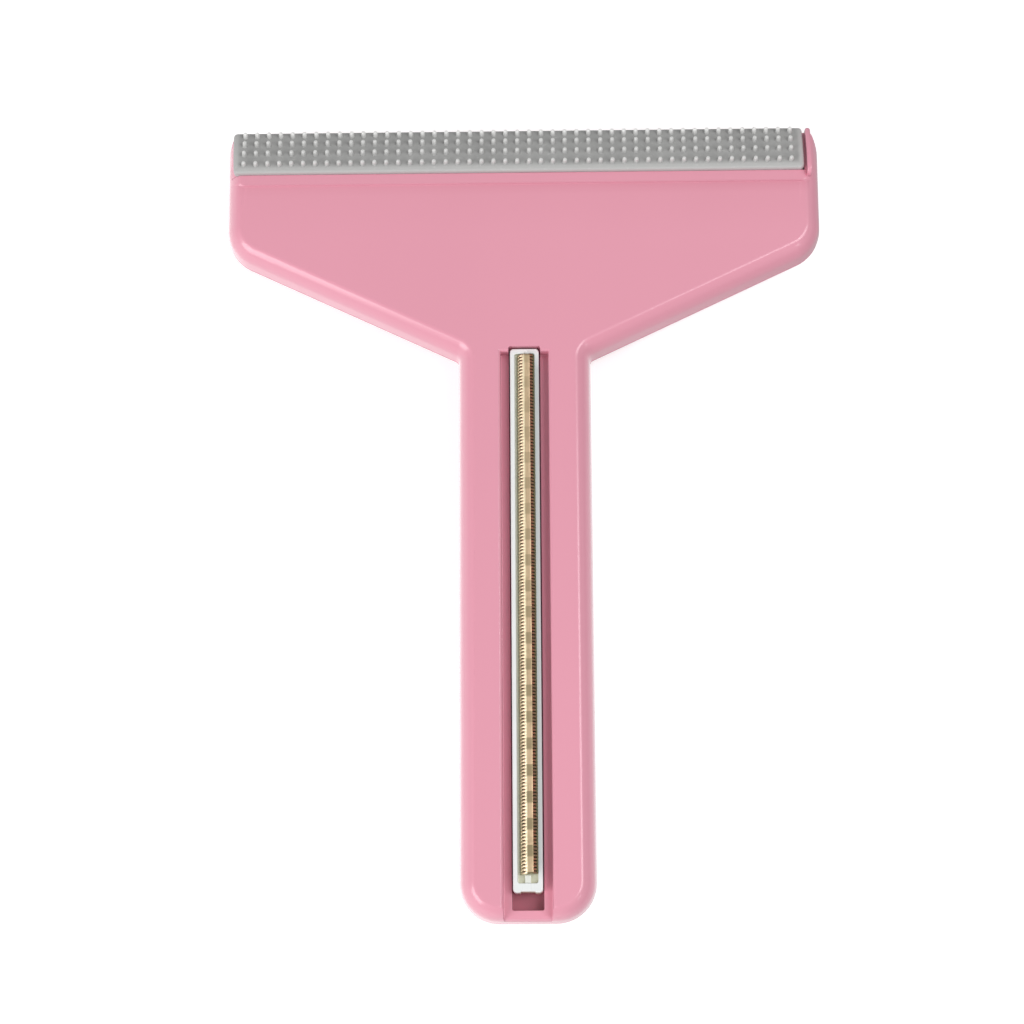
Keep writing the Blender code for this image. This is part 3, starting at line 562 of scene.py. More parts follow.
def channel_cutter(body, strip, pad):
    """The seat of the strip with its T-shaped groove: arcs round the pad's centre line."""
    radii, halves = groove(strip, 0.0)
    low = pad.low - FINE_GAP / strip.radius
    high = pad.high + CLEARANCE / radii[0]
    beyond = TOOL_LENGTH + OVERRUN
    above = pad.place(strip.radius + OVERRUN, np.array([low]))
    tee = tee_section(pad, radii, halves, low, high, (12, 12))
    section = np.concatenate([above, tee, [(beyond, tee[-1, 1]), (beyond, above[0, 1])]])
    return bar("channel", section, -body.head_width, pad.right + END_GAP + body.end_wall / 2)


def end_wall_form(body, strip, pad):
    """The wall that closes the channel: an outline in (y, z), drawn in at both of its sides.

    The crest is an arc round the pad's centre line. A rounded corner ends it at the top of
    the tool, and a wider one brings it down onto the lip. Each side edge is a quarter-round.
    """
    soft, wide, edge = 0.0014, 0.0016, 0.00045
    crest = strip.radius + body.end_wall_proud
    top = TOOL_LENGTH - body.top_setback - FINE_GAP / 2
    high = math.asin((top - soft - pad.y) / (crest - soft))
    bend, bend_way = arc(pad.place(crest - soft, np.array([high]))[0], soft,
                         math.pi / 2 - high, 0.0, 10)
    angle = np.linspace(pad.low, high, 25)[1:-1]
    crest_line = pad.place(crest, angle)
    crest_way = np.stack([np.sin(angle), np.cos(angle)], -1)
    fall, fall_way = arc(pad.place(crest - wide, np.array([pad.low]))[0], wide,
                         math.pi, math.pi / 2 - pad.low, 10)
    foot = body.parting + body.land * 2
    points = np.concatenate([fall, crest_line, bend, [(top, foot), (fall[0, 0], foot)]])
    inward = np.concatenate([-fall_way, -crest_way, -bend_way, [(-1.0, 0.6), (1.0, 0.6)]])
    start, stop = pad.right + END_GAP, pad.right + CLEARANCE + body.end_wall
    turn = np.linspace(0.0, math.pi / 2, 7)
    steps = [(edge * (1 - math.sin(a)), start + edge * (1 - math.cos(a))) for a in turn]
    steps += [(edge * (1 - math.cos(a)), stop - edge * (1 - math.sin(a))) for a in turn]
    inset, across = np.array(steps).T
    flat = points[None] + inset[:, None, None] * inward[None]
    far = np.broadcast_to(across[:, None, None], flat.shape[:2] + (1,))
    return ring_piece("end_wall", np.concatenate([far, flat], 2))


def shelf_form(body, strip, pad):
    """The low pink shelf that shows between the pad's right end and the end wall."""
    outer, inner = strip.radius - 0.0015, strip.radius - 0.0055
    high, gap = pad.high - 0.02, 0.00012
    section = np.concatenate([pad.line(outer, pad.low, high, 16), pad.line(inner, high, pad.low, 8)])
    return bar("shelf", section, pad.right + gap, pad.right + END_GAP + body.end_wall / 2)


def roll_cutter(body, strip, pad):
    """What lies above the pad's own arc to the right of the end wall, so the end bends down too."""
    sky = body.front + 0.02
    section = pad.line(strip.radius + 0.0002, math.radians(8.0), math.radians(60.0), 40)
    section = np.concatenate([section, [(section[-1, 0], sky), (section[0, 0], sky)]])
    return bar("end_roll", section, pad.right + END_GAP + body.end_wall / 2, body.head_width)


def body_blank(name, body):
    """The front half of the body before its channel, recess and slot are cut."""
    points, inward = body_outline(body, TOOL_LENGTH + OVERRUN)
    return pillow(name, points, inward, side_steps(body, body.front))


def end_plate_form(body, strip, pad):
    """The plate on the rail's left end, which closes the channel.

    The channel's own section, a fine gap smaller all round, carried along x and then cut
    to the body's side.
    """
    sunk, reach_under_pad = 0.0006, 0.0007
    radii, halves = groove(strip, FINE_GAP)
    low = pad.low + FINE_GAP / strip.radius
    tee = tee_section(pad, radii, halves, low, pad.high, (12, 8))
    section = np.concatenate([pad.line(strip.radius - sunk, low, pad.high, 24), tee[::-1]])
    plate = bar("rail_end_plate", section, -body.head_width, pad.left + reach_under_pad)
    side = combine(body_blank("plate_side", body), [lip_form(body, strip, pad)], "UNION")
    return combine(plate, [side, head_limit("plate_limit", body)], "INTERSECT")


def lip_form(body, strip, pad):
    """The raised border of the strip: its flat top's outline, drawn out ring by ring.

    At the sides a ring is drawn out to the body's own side profile. At the bottom it is
    drawn out by run * s where its height is low + rise (1 + cos (pi s)) / 2, for s from
    0 to 1. So the border ends in a soft, short step. Past its edge the whole form sinks
    by a tenth of the distance, because the border leans to the top as the strip does.
    """
    run, dip, sink, corner = 0.0003, 0.000012, 0.10, 0.0008
    past_top, inside_body, below_front = 0.004, 0.0001, 0.0002
    inset, height = np.array(side_steps(body, body.front + body.lip_rise)[5:-1]).T
    flat = inset[-1]
    share = np.linspace(1.0, 0.0, 13)
    slope = body.front - dip + (body.lip_rise + dip) * (1 + np.cos(math.pi * share)) / 2
    deep = np.linspace(body.parting + body.land * 2, body.front - below_front, 14)
    level = np.concatenate([deep, slope])
    side = flat - np.interp(level, height, inset)
    lower = np.concatenate([np.full(len(deep), run), share * run])
    crease = pad.y + strip.radius * math.sin(pad.low) - body.lip_width
    half = body.head_width / 2 - inside_body - flat
    bend, way = arc((half - corner, crease + run + corner), corner, -math.pi / 2, 0.0, 12)
    points = both_sides(np.concatenate([bend, [(half, TOOL_LENGTH + past_top)]]))
    way = both_sides(np.concatenate([way, [(1.0, 0.3)]]))
    plan = points[None] + np.stack([side, lower], 1)[:, None, :] * way[None]
    tall = level[:, None, None] - sink * np.maximum(plan[:, :, 1:] - (crease + run), 0.0)
    return ring_piece("lip", np.concatenate([plan, tall], 2))


def recess_cutter(body, comb):
    """The shallow recess: a section carried along y, with a floor height of its own at each y.

    The floor is level, rolls over in a quarter-round at the handle's end, and rises to the
    front in another at the top of the recess. The side edges flare out in a quarter-round.
    """
    edge, roll, foot, drop = 0.0007, 0.0010, 0.00025, 0.010
    half = comb.recess_width / 2
    ledge = body.front - comb.recess_depth
    brow = body.front - edge
    turn = np.linspace(0.0, math.radians(78.0), 7)
    bend = np.linspace(0.0, math.radians(80.0), 7)
    start = np.interp(ledge, *np.array(side_steps(body, body.front)[5:-1]).T[::-1]) + roll
    top = comb.recess_top
    stations = [(-OVERRUN, ledge - drop)]
    stations += [(start - roll * math.sin(a), ledge - roll * (1 - math.cos(a))) for a in bend[::-1]]
    stations += [(top - foot, ledge), (top - foot * 0.3, ledge + foot * 0.3), (top, ledge + foot),
                 (top + 0.00001, brow)]
    stations += [(top + edge * (1 - math.cos(a)), brow + edge * math.sin(a)) for a in turn[1:]]
    y, floor = np.array(stations).T
    flare_x = half + edge * (1 - np.cos(turn))
    side_x = np.concatenate([[half - foot, half - foot * 0.3, half], flare_x, [flare_x[-1] + 0.0002]])
    side_z = np.concatenate([[ledge, ledge + foot * 0.3, ledge + foot], brow + edge * np.sin(turn),
                             [body.front + OVERRUN]])
    lifted = np.maximum(side_z[None], floor[:, None])
    lifted[:, 0] = floor
    out = np.interp(lifted, side_z[2:], side_x[2:])
    low = floor[:, None] < ledge + foot
    x = np.where(low, side_x[None], np.maximum(out, half))
    right = np.stack([x, np.broadcast_to(y[:, None], x.shape), lifted], -1)
    left = right[:, ::-1] * np.array((-1.0, 1.0, 1.0))
    return ring_piece("recess", np.concatenate([right, left], 1))


def rounded_rectangle(low, high, radius, steps=8):
    """Corner arcs of a rectangle in plan, and the inward direction at each point."""
    points, inward = [], []
    corners = ((high[0], low[1]), high, (low[0], high[1]), low)
    middle = (np.array(low) + np.array(high)) / 2
    for corner, start in zip(corners, (-90, 0, 90, 180)):
        centre = np.array(corner) + np.sign(middle - corner) * radius
        line, way = arc(centre, radius, math.radians(start), math.radians(start + 90), steps)
        points.append(line)
        inward.append(-way)
    return np.concatenate(points), np.concatenate(inward)


def slot_cutter(body, comb):
    """The deep slot for the cartridge: a rounded plan, with its edge flared at the ledges."""
    corner, soft, spread = 0.0004, 0.00012, 0.00002
    half = comb.slot_width / 2
    points, inward = rounded_rectangle((-half, comb.slot_start), (half, comb.slot_stop), corner)
    ledge = body.front - comb.recess_depth
    turn = np.linspace(0.0, math.radians(75.0), 5)
    steps = [(0.0, comb.slot_floor), (0.0, ledge - soft)]
    steps += [(-soft * (1 - math.cos(a)), ledge - soft + soft * math.sin(a)) for a in turn[1:]]
    steps.append((steps[-1][0] - spread, body.front + OVERRUN))
    return pillow("slot", points, inward, steps)


def shift(piece):
    """Move a piece from the handle's end, where it is laid out, to its place in the frame."""
    piece.data.transform(Matrix.Translation((0.0, HANDLE_END, 0.0)))
    return piece


def finish_piece(piece, material, body, node):
    """Give a piece its finish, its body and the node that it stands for."""
    shift(piece)
    piece.data.materials.clear()
    piece.data.materials.append(material)
    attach(piece, body)
    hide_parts(node)
    return piece


class Finish:
    """A node material, put together one step at a time."""

    def __init__(self, name):
        self.material = bpy.data.materials.new(name)
        self.material.use_nodes = True
        self.tree = self.material.node_tree
        self.shader = self.tree.nodes["Principled BSDF"]
        self.place = self.node("ShaderNodeTexCoord").outputs["Object"]

    def node(self, kind, settings=None, **inputs):
        """A new node with some settings, and with values or links on its inputs."""
        item = self.tree.nodes.new(kind)
        for key, value in (settings or {}).items():
            setattr(item, key, value)
        for key, value in inputs.items():
            self.feed(item.inputs[key.replace("_", " ")], value)
        return item

    def feed(self, socket, value):
        """Link an output to a socket, or set the socket's value."""
        if isinstance(value, bpy.types.NodeSocket):
            self.tree.links.new(value, socket)
        else:
            socket.default_value = value

    def dress(self, **inputs):
        """Set or link the shader's own inputs, and give the material back."""
        for key, value in inputs.items():
            self.feed(self.shader.inputs[key.replace("_", " ")], value)
        return self.material

    def axes(self):
        """The x, y and z of a place on the finished tool, in metres."""
        return tuple(self.node("ShaderNodeSeparateXYZ", Vector=self.place).outputs)

    def noise(self, scale, detail=2.0, roughness=0.5, stretch=(1.0, 1.0, 1.0)):
        """Noise on the object's own coordinates, from 0 to 1."""
        mapping = self.node("ShaderNodeMapping", Vector=self.place)
        mapping.inputs["Scale"].default_value = stretch
        texture = self.node("ShaderNodeTexNoise", Vector=mapping.outputs["Vector"],
                            Scale=scale, Detail=detail, Roughness=roughness)
        return texture.outputs["Fac"]

    def ramp(self, value, low, high, start, stop):
        """A value mapped from one span to another, and held inside it."""
        step = self.node("ShaderNodeMapRange", Value=value)
        for key, number in zip(("From Min", "From Max", "To Min", "To Max"), (low, high, start, stop)):
            step.inputs[key].default_value = number
        return step.outputs["Result"]

    def math(self, operation, first, second=0.0):
        """One sum of one or two values."""
        step = self.node("ShaderNodeMath", {"operation": operation})
        self.feed(step.inputs[0], first)
        self.feed(step.inputs[1], second)
        return step.outputs[0]

    def product(self, *shares):
        """Several shares multiplied together."""
        whole = shares[0]
        for share in shares[1:]:
            whole = self.math("MULTIPLY", whole, share)
        return whole

    def band(self, value, low, full, fall, high):
        """1 from full to fall, and ramps down to 0 at low and at high."""
        return self.product(self.ramp(value, low, full, 0.0, 1.0), self.ramp(value, fall, high, 1.0, 0.0))

    def blend(self, pattern, first, second):
        """Two colours mixed by a noise pattern's middle range."""
        return self.mix(self.ramp(pattern, 0.3, 0.7, 0.0, 1.0), first, second)

    def mix(self, share, first, second):
        """Two colours mixed by a share."""
        step = self.node("ShaderNodeMix", {"data_type": "RGBA"})
        self.feed(step.inputs["Factor"], share)
        self.feed(step.inputs[6], first)
        self.feed(step.inputs[7], second)
        return step.outputs[2]

    def worn_edge(self, radius):
        """The normal with its edges rounded, and a share that is 1 on an edge and 0 on a flat."""
        rounded = self.node("ShaderNodeBevel", {"samples": 4}, Radius=radius).outputs["Normal"]
        plain = self.node("ShaderNodeNewGeometry").outputs["Normal"]
        compare = self.node("ShaderNodeVectorMath", {"operation": "DOT_PRODUCT"})
        self.feed(compare.inputs[0], rounded)
        self.feed(compare.inputs[1], plain)
        return rounded, self.ramp(compare.outputs["Value"], 0.90, 0.995, 1.0, 0.0)

    def bump(self, height, distance, strength=1.0, onto=None):
        """A bump of a height in metres."""
        step = self.node("ShaderNodeBump", Height=height, Strength=strength, Distance=distance)
        if onto is not None:
            self.feed(step.inputs["Normal"], onto)
        return step.outputs["Normal"]


def shade(colour, factor):
    """A colour made lighter or darker, with full opacity."""
    return tuple(min(1.0, channel * factor) for channel in colour) + (1.0,)


# Painted shade: the deeper pink that the slot, the recess and the crease under the strip's border are
# mixed towards
PAINTED_SHADE_PINK = (0.46, 0.10, 0.155, 1.0)


def painted_shade_in_pink(finish):
    """Where painted shade deepens the pink, as three shares.

    The first is the comb's slot, the second the recess round it, less so. The third is a
    soft band under the strip's border, which fades towards the handle.
    """
    x, y, z = finish.axes()
    aside = finish.math("ABSOLUTE", x)
    handle = finish.product(finish.band(y, -0.0906, -0.0904, 0.0392, 0.0396),
                            finish.ramp(z, 0.0071, 0.0073, 0.0, 1.0))
    slot = finish.product(finish.ramp(aside, 0.0036, 0.0038, 1.0, 0.0), handle,
                          finish.ramp(z, 0.0078, 0.0110, 0.85, 0.0))
    recess = finish.product(finish.ramp(aside, 0.0054, 0.0058, 1.0, 0.0), handle,
                            finish.ramp(z, 0.0116, 0.0128, 0.28, 0.0),
                            finish.ramp(y, -0.086, -0.082, 0.0, 1.0))
    border = finish.math("ADD", finish.ramp(y, 0.0762, 0.0788, 0.0, 0.15),
                         finish.ramp(y, 0.066, 0.0788, 0.0, 0.08))
    border = finish.product(border, finish.ramp(y, 0.0789, 0.0793, 1.0, 0.0),
                            finish.ramp(x, -0.045, 0.045, 0.6, 1.15),
                            finish.ramp(z, 0.0145, 0.0149, 0.0, 1.0))
    return slot, recess, border


def pink_plastic(name, colour):
    """Satin moulded plastic: fine grain, slow flow marks, edges polished by the hand, and painted shade in
    the slot, the recess and under the strip's border.
    """
    finish = Finish(name)
    round_off, edge = finish.worn_edge(0.00025)
    flow = finish.noise(9.0, 3.0, 0.55, (1.0, 0.45, 1.0))
    smudge = finish.noise(70.0, 4.0, 0.6)
    speck = finish.noise(1400.0, 2.0, 0.6)
    grain = finish.noise(5200.0, 3.0, 0.65)
    tone = finish.blend(flow, shade(colour, 0.97), shade(colour, 1.02))
    tone = finish.mix(finish.ramp(speck, 0.66, 0.78, 0.0, 0.10), tone, shade(colour, 1.12))
    # Painted shade: the slot, the recess and the band under the strip's border are mixed towards a deeper
    # pink
    for dust_and_shade in painted_shade_in_pink(finish):
        tone = finish.mix(dust_and_shade, tone, PAINTED_SHADE_PINK)
    worn = finish.product(edge, finish.ramp(smudge, 0.35, 0.7, 0.15, 0.7))
    rough = finish.math("ADD", finish.ramp(flow, 0.3, 0.7, 0.38, 0.43),
                        finish.ramp(grain, 0.3, 0.7, -0.03, 0.03))
    rough = finish.math("ADD", rough, finish.ramp(smudge, 0.3, 0.7, -0.02, 0.04))
    rough = finish.math("SUBTRACT", rough, finish.product(worn, 0.12))
    normal = finish.bump(grain, 0.000004, 0.5, round_off)
    return finish.dress(
        Base_Color=finish.mix(worn, tone, shade(colour, 1.14)), Roughness=rough,
        Normal=finish.bump(flow, 0.00004, 0.3, normal),
        Specular_IOR_Level=0.4, Coat_Weight=0.8, Coat_Roughness=0.17)


def grey_silicone(name, colour):
    """Matte silicone with dusty specks, painted shade among the studs, a lighter bare border and a painted
    highlight that grows to each stud's tip.
    """
    finish = Finish(name)
    height = finish.node("ShaderNodeAttribute", {"attribute_name": "stud_height"}).outputs["Fac"]
    bare = finish.node("ShaderNodeAttribute", {"attribute_name": "bare_border"}).outputs["Fac"]
    cloud = finish.noise(160.0, 3.0, 0.6)
    grain = finish.noise(3800.0, 3.0, 0.7)
    # Painted shade: the pad is darker among the studs, and the bare border, where no stud shades it, is
    # left lighter
    pad = finish.blend(cloud, shade(colour, 0.76), shade(colour, 0.88))
    pad = finish.mix(bare, pad, shade(colour, 1.08))
    # Painted highlight: the studs are far lighter than the pad, by the stud_height share towards their
    # tips
    stud = finish.blend(grain, shade(colour, 1.85), shade(colour, 2.0))
    dust_and_shade = finish.ramp(finish.noise(900.0, 4.0, 0.7), 0.58, 0.75, 0.0, 0.25)
    tone = finish.mix(height, pad, stud)
    return finish.dress(
        Base_Color=finish.mix(dust_and_shade, tone, shade(colour, 1.6)),
        Roughness=finish.ramp(cloud, 0.3, 0.7, 0.50, 0.64),
        Normal=finish.bump(grain, 0.000012, 0.7), IOR=1.42)


# Painted light on the white plastic: the brass's reflection in the troughs, shade under the comb and shade
# on the right rim
PAINTED_BRASS_REFLECTION = (0.74, 0.73, 0.54, 1.0)
PAINTED_SHADE_UNDER_COMB = (0.12, 0.135, 0.07, 1.0)
SHADED_RIM_GREY = (0.36, 0.41, 0.40, 1.0)


def white_plastic(name, colour):
    """Glossy white moulded plastic with faint draw marks along its length.

    The carrier's troughs carry a painted reflection of the brass, and painted shade under the comb.
    Its right rim is darkened with painted shade.
    """
    finish = Finish(name)
    x, y, z = finish.axes()
    cloud = finish.noise(120.0, 2.0, 0.5)
    draw = finish.noise(2600.0, 2.0, 0.5, (1.0, 0.06, 1.0))
    tone = finish.blend(cloud, shade(colour, 0.975), shade(colour, 1.015))
    aside = finish.math("ABSOLUTE", finish.math("SUBTRACT", x, 0.0005))
    trough = finish.product(finish.ramp(z, 0.0132, 0.0137, 1.0, 0.0),
                            finish.ramp(y, 0.040, 0.045, 1.0, 0.0),
                            finish.ramp(aside, 0.0026, 0.0028, 1.0, 0.0))
    # Painted reflection: the troughs are tinted yellow, as brass light would tint them
    tone = finish.mix(finish.product(trough, 0.8), tone, PAINTED_BRASS_REFLECTION)
    # Painted shade: dark olive in the troughs under the comb, seen through the slits
    under_comb_shade = finish.product(trough, finish.band(x, -0.0015, -0.0010, 0.0022, 0.0025),
                           finish.ramp(y, -0.0822, -0.0818, 0.0, 1.0))
    tone = finish.mix(under_comb_shade, tone, PAINTED_SHADE_UNDER_COMB)
    # Painted shade: the right rim is darkened towards grey
    rim_shade = finish.product(finish.ramp(x, 0.0023, 0.0025, 0.0, 0.55),
                            finish.band(y, -0.084, -0.080, 0.034, 0.038))
    return finish.dress(
        Base_Color=finish.mix(rim_shade, tone, SHADED_RIM_GREY),
        Roughness=finish.ramp(draw, 0.3, 0.7, 0.26, 0.36),
        Normal=finish.bump(draw, 0.000003, 0.5))


# Painted light on the brass: a highlight colour for the left flank, the tarnish colour, which also paints
# shade, and a red and an olive painted shade for the right flank
PAINTED_HIGHLIGHT_BRASS = (0.95, 0.84, 0.58, 1.0)
TARNISH_AND_SHADE_BRASS = (0.27, 0.22, 0.13, 1.0)
PAINTED_SHADE_RED = (0.30, 0.14, 0.07, 1.0)
PAINTED_SHADE_OLIVE = (0.25, 0.28, 0.16, 1.0)
BAR_PITCH = 0.006


def brass_sheet(name, colour):
    """Etched sheet brass: rolled along its length, with tarnish in patches and bars. Across the
    fold it carries painted light: a painted highlight on the left flank, painted shade at that
    flank's outer edge, and a reddish, then olive painted shade on the right flank.

    The bars repeat at fract (y / pitch), and are darkest near the lower end.
    """
    finish = Finish(name)
    across, along, _ = finish.axes()
    cycle = finish.math("FRACT", finish.math("DIVIDE", finish.math("ADD", along, 1.0), BAR_PITCH))
    barred = finish.product(finish.ramp(cycle, 0.52, 0.60, 0.0, 1.0),
                            finish.ramp(along, -0.075, 0.03, 0.95, 0.35))
    rolled = finish.noise(2400.0, 2.0, 0.6, (1.0, 0.08, 1.0))
    patch = finish.noise(260.0, 3.0, 0.65)
    tarnish = finish.ramp(patch, 0.50, 0.66, 0.0, 0.5)
    tone = finish.blend(rolled, shade(colour, 0.9), shade(colour, 1.1))
    # Painted highlight: the left flank is made much lighter
    tone = finish.mix(finish.ramp(across, -0.0001, 0.0001, 1.0, 0.0), tone, PAINTED_HIGHLIGHT_BRASS)
    # Painted shade: the left flank's outer edge and then the whole right flank are darkened
    tone = finish.mix(finish.ramp(across, -0.0015, -0.0007, 0.6, 0.0), tone, TARNISH_AND_SHADE_BRASS)
    tone = finish.mix(finish.ramp(across, 0.00115, 0.00130, 0.0, 0.75), tone, PAINTED_SHADE_RED)
    tone = finish.mix(finish.ramp(across, 0.00175, 0.00195, 0.0, 0.85), tone, PAINTED_SHADE_OLIVE)
    spine = finish.ramp(across, -0.0002, 0.0, 0.25, 1.0)
    share = finish.product(finish.math("MAXIMUM", tarnish, barred), spine)
    return finish.dress(
        Base_Color=finish.mix(share, tone, TARNISH_AND_SHADE_BRASS),
        Roughness=finish.ramp(patch, 0.4, 0.65, 0.40, 0.52),
        Normal=finish.bump(rolled, 0.000004, 0.5), Metallic=1.0)


# The angles past which an edge is a crease: on mouldings, on soft forms and on the sheet
MOULDED_CREASE = math.radians(42.0)
SOFT_CREASE = math.radians(60.0)
SHEET_CREASE = math.radians(40.0)


def finish_of(name, make, colour):
    """The finish of that name, made at its first use. The frame's own materials keep theirs."""
    return bpy.data.materials.get(name + "_finish") or make(name + "_finish", tuple(colour))


class SHAVER_OT_front_shell(bpy.types.Operator):
    """Build the front half of the body with its lip, channel, recess and slot"""
    bl_idname = "shaver.front_shell"
    bl_label = "Front shell"

    def execute(self, context):
        body, strip, comb, _ = sizes()
        pad = PadFrame(body, strip)
        shell = body_blank("front_shell_moulding", body)
        combine(shell, [lip_form(body, strip, pad)], "UNION")
        combine(shell, [head_limit("front_limit", body)], "INTERSECT")
        combine(shell, [channel_cutter(body, strip, pad), recess_cutter(body, comb),
                        slot_cutter(body, comb)], "DIFFERENCE")
        combine(shell, [roll_cutter(body, strip, pad)], "DIFFERENCE")
        combine(shell, [shelf_form(body, strip, pad), end_wall_form(body, strip, pad)], "UNION")
        soften(shell, MOULDED_CREASE)
        pink = finish_of("pink_plastic", pink_plastic, body.colour)
        finish_piece(shell, pink, "body", "front_shell")
        return {"FINISHED"}


class SHAVER_OT_back_cover(bpy.types.Operator):
    """Build the rounded back half of the body"""
    bl_idname = "shaver.back_cover"
    bl_label = "Back cover"

    def execute(self, context):
        body = sizes()[0]
        points, inward = body_outline(body, TOOL_LENGTH + OVERRUN)
        cover = pillow("back_cover_moulding", points, inward, cover_steps(body))
        combine(cover, [head_limit("back_limit", body)], "INTERSECT")
        soften(cover, MOULDED_CREASE)
        pink = finish_of("pink_plastic", pink_plastic, body.colour)
        finish_piece(cover, pink, "body", "back_cover")
        return {"FINISHED"}


def bent_pad(strip, pad):
    """The silicone pad: a rounded section in (angle, radius) carried along x.

    Near each end the section is drawn in along a quarter circle, in width by the plan
    radius and in height by the edge radius, so that all four corners are round. The left
    end leans out to the top. The second array is 1 on the bare border and 0 among the studs.
    """
    edge, corner, trim = 0.0006, 0.0010, 0.0002
    lean_out, lean_reach = 0.0005, 0.004
    end_share, bare_width, bare_blend = 0.0003, 0.0012, 0.0006
    half = strip.radius * (pad.high - pad.low) / 2
    bottom = -strip.thickness
    turn = np.linspace(0.0, math.pi / 2, 7)
    across = np.linspace(-(half - edge), half - edge, 25)[1:-1]
    wide = np.concatenate([[-half], -(half - edge) - edge * np.cos(turn), across,
                           (half - edge) + edge * np.sin(turn), [half]])
    wide = wide - trim * np.maximum(wide / half, 0.0)
    tall = np.concatenate([[bottom], edge * (np.sin(turn) - 1), np.zeros(len(across)),
                           edge * (np.cos(turn) - 1), [bottom]])
    under = np.linspace(half - trim, -half, 13)[1:-1]
    wide = np.concatenate([wide, under])
    tall = np.concatenate([tall, np.full(len(under), bottom)])
    reach = corner * (1 - np.cos(np.linspace(0.0, math.pi / 2, 9)))
    border = np.array((0.0014, 0.0018, 0.0022))
    x = np.concatenate([pad.left + reach, pad.left + border, np.linspace(pad.left, pad.right, 40)[1:-1],
                        pad.right - border[::-1], pad.right - reach[::-1]])
    near = np.minimum(x - pad.left, pad.right - x)
    draw, sink = (size - np.sqrt(np.maximum(size ** 2 - np.maximum(size - near, 0.0) ** 2, 0.0))
                  for size in (corner, edge))
    width = wide[None] * (half - draw[:, None]) / half
    height = np.maximum(tall[None] - sink[:, None], bottom)
    place = pad.place(strip.radius + height, strip.middle + width / strip.radius)
    near_left = np.clip(1 - (x - pad.left) / lean_reach, 0.0, 1.0)[:, None]
    lean = lean_out * (wide[None] / half + 1) / 2 * near_left
    from_edge = half + np.broadcast_to(wide[None], lean.shape)
    bare = np.minimum(from_edge, near[:, None] + end_share)
    bare = 1 - np.clip((bare - bare_width) / bare_blend, 0.0, 1.0)
    return np.concatenate([(x[:, None] - lean)[:, :, None], place], 2), bare


STUD_SIDES = 10


def studs(strip, pad):
    """All the studs in one array: a lathe profile turned round each stud's own axis.

    A point is foot + height * up + radius * (cos t * x + sin t * along), where up points
    away from the pad's centre line.
    """
    tall, tip, flare = strip.stud_height, strip.tip_radius, 0.00014
    radius, height = np.array([
        (strip.stud_radius + flare, -0.00006), (strip.stud_radius, 0.00018),
        (tip, tall - 0.00045), (tip * 0.92, tall - 0.00022), (tip * 0.68, tall - 0.00006),
        (tip * 0.30, tall)]).T
    right = np.array((1.0, 0.0, 0.0))
    turn = np.arange(STUD_SIDES) * (2 * math.pi / STUD_SIDES)
    angle = strip.middle + (np.arange(strip.rows) - (strip.rows - 1) / 2) * pad.step
    x = pad.left + strip.end_border + np.arange(strip.columns) * strip.pitch
    flat = np.zeros(strip.rows)
    up = np.stack([flat, np.sin(angle), np.cos(angle)], -1)
    along = np.stack([flat, np.cos(angle), -np.sin(angle)], -1)
    foot = np.concatenate([flat[:, None], pad.place(strip.radius, angle)], 1)
    spin = np.cos(turn)[None, :, None] * right + np.sin(turn)[None, :, None] * along[:, None, :]
    ring = (foot[:, None, None, :] + height[None, :, None, None] * up[:, None, None, :]
            + radius[None, :, None, None] * spin[:, None, :, :])
    all_studs = ring[:, None] + x[None, :, None, None, None] * right
    return all_studs.reshape(strip.rows * strip.columns, len(radius), STUD_SIDES, 3), height


def add_values(piece, name, values):
    """An attribute with one number for each point."""
    attribute = piece.data.attributes.new(name, "FLOAT", "POINT")
    attribute.data.foreach_set("value", values.astype(np.float32))


class SHAVER_OT_silicone_strip(bpy.types.Operator):
    """Build the bent silicone pad and its rows of studs"""
    bl_idname = "shaver.silicone_strip"
    bl_label = "Silicone strip"

    def execute(self, context):
        body, strip, _, _ = sizes()
        pad = PadFrame(body, strip)
        grid, bare = bent_pad(strip, pad)
        stud_grid, height = studs(strip, pad)
        count, rings, around = stud_grid.shape[:3]
        first, each = bare.size, rings * around
        faces = rings_to_faces(*bare.shape)
        for number in range(count):
            faces += rings_to_faces(rings, around, first + number * each)
        points = np.concatenate([grid.reshape(-1, 3), stud_grid.reshape(-1, 3)])
        piece = new_piece("studded_silicone", points, faces)

        # Painted highlight: a stud gets lighter to its tip, and the top row gets the brightest one
        share = np.clip(height / strip.stud_height, 0.0, 1.0) ** 0.7
        through = np.where(np.arange(count) >= (strip.rows - 1) * strip.columns, 1.0, 0.62)
        level = np.broadcast_to(through[:, None, None] * share[None, :, None], stud_grid.shape[:3])
        add_values(piece, "stud_height", np.concatenate([np.zeros(first), level.reshape(-1)]))
        add_values(piece, "bare_border", np.concatenate([bare.reshape(-1), np.zeros(level.size)]))
        soften(piece, SOFT_CREASE)
        silicone = finish_of("grey_silicone", grey_silicone, strip.colour)
        finish_piece(piece, silicone, "strip_cartridge", "silicone_strip")
        return {"FINISHED"}


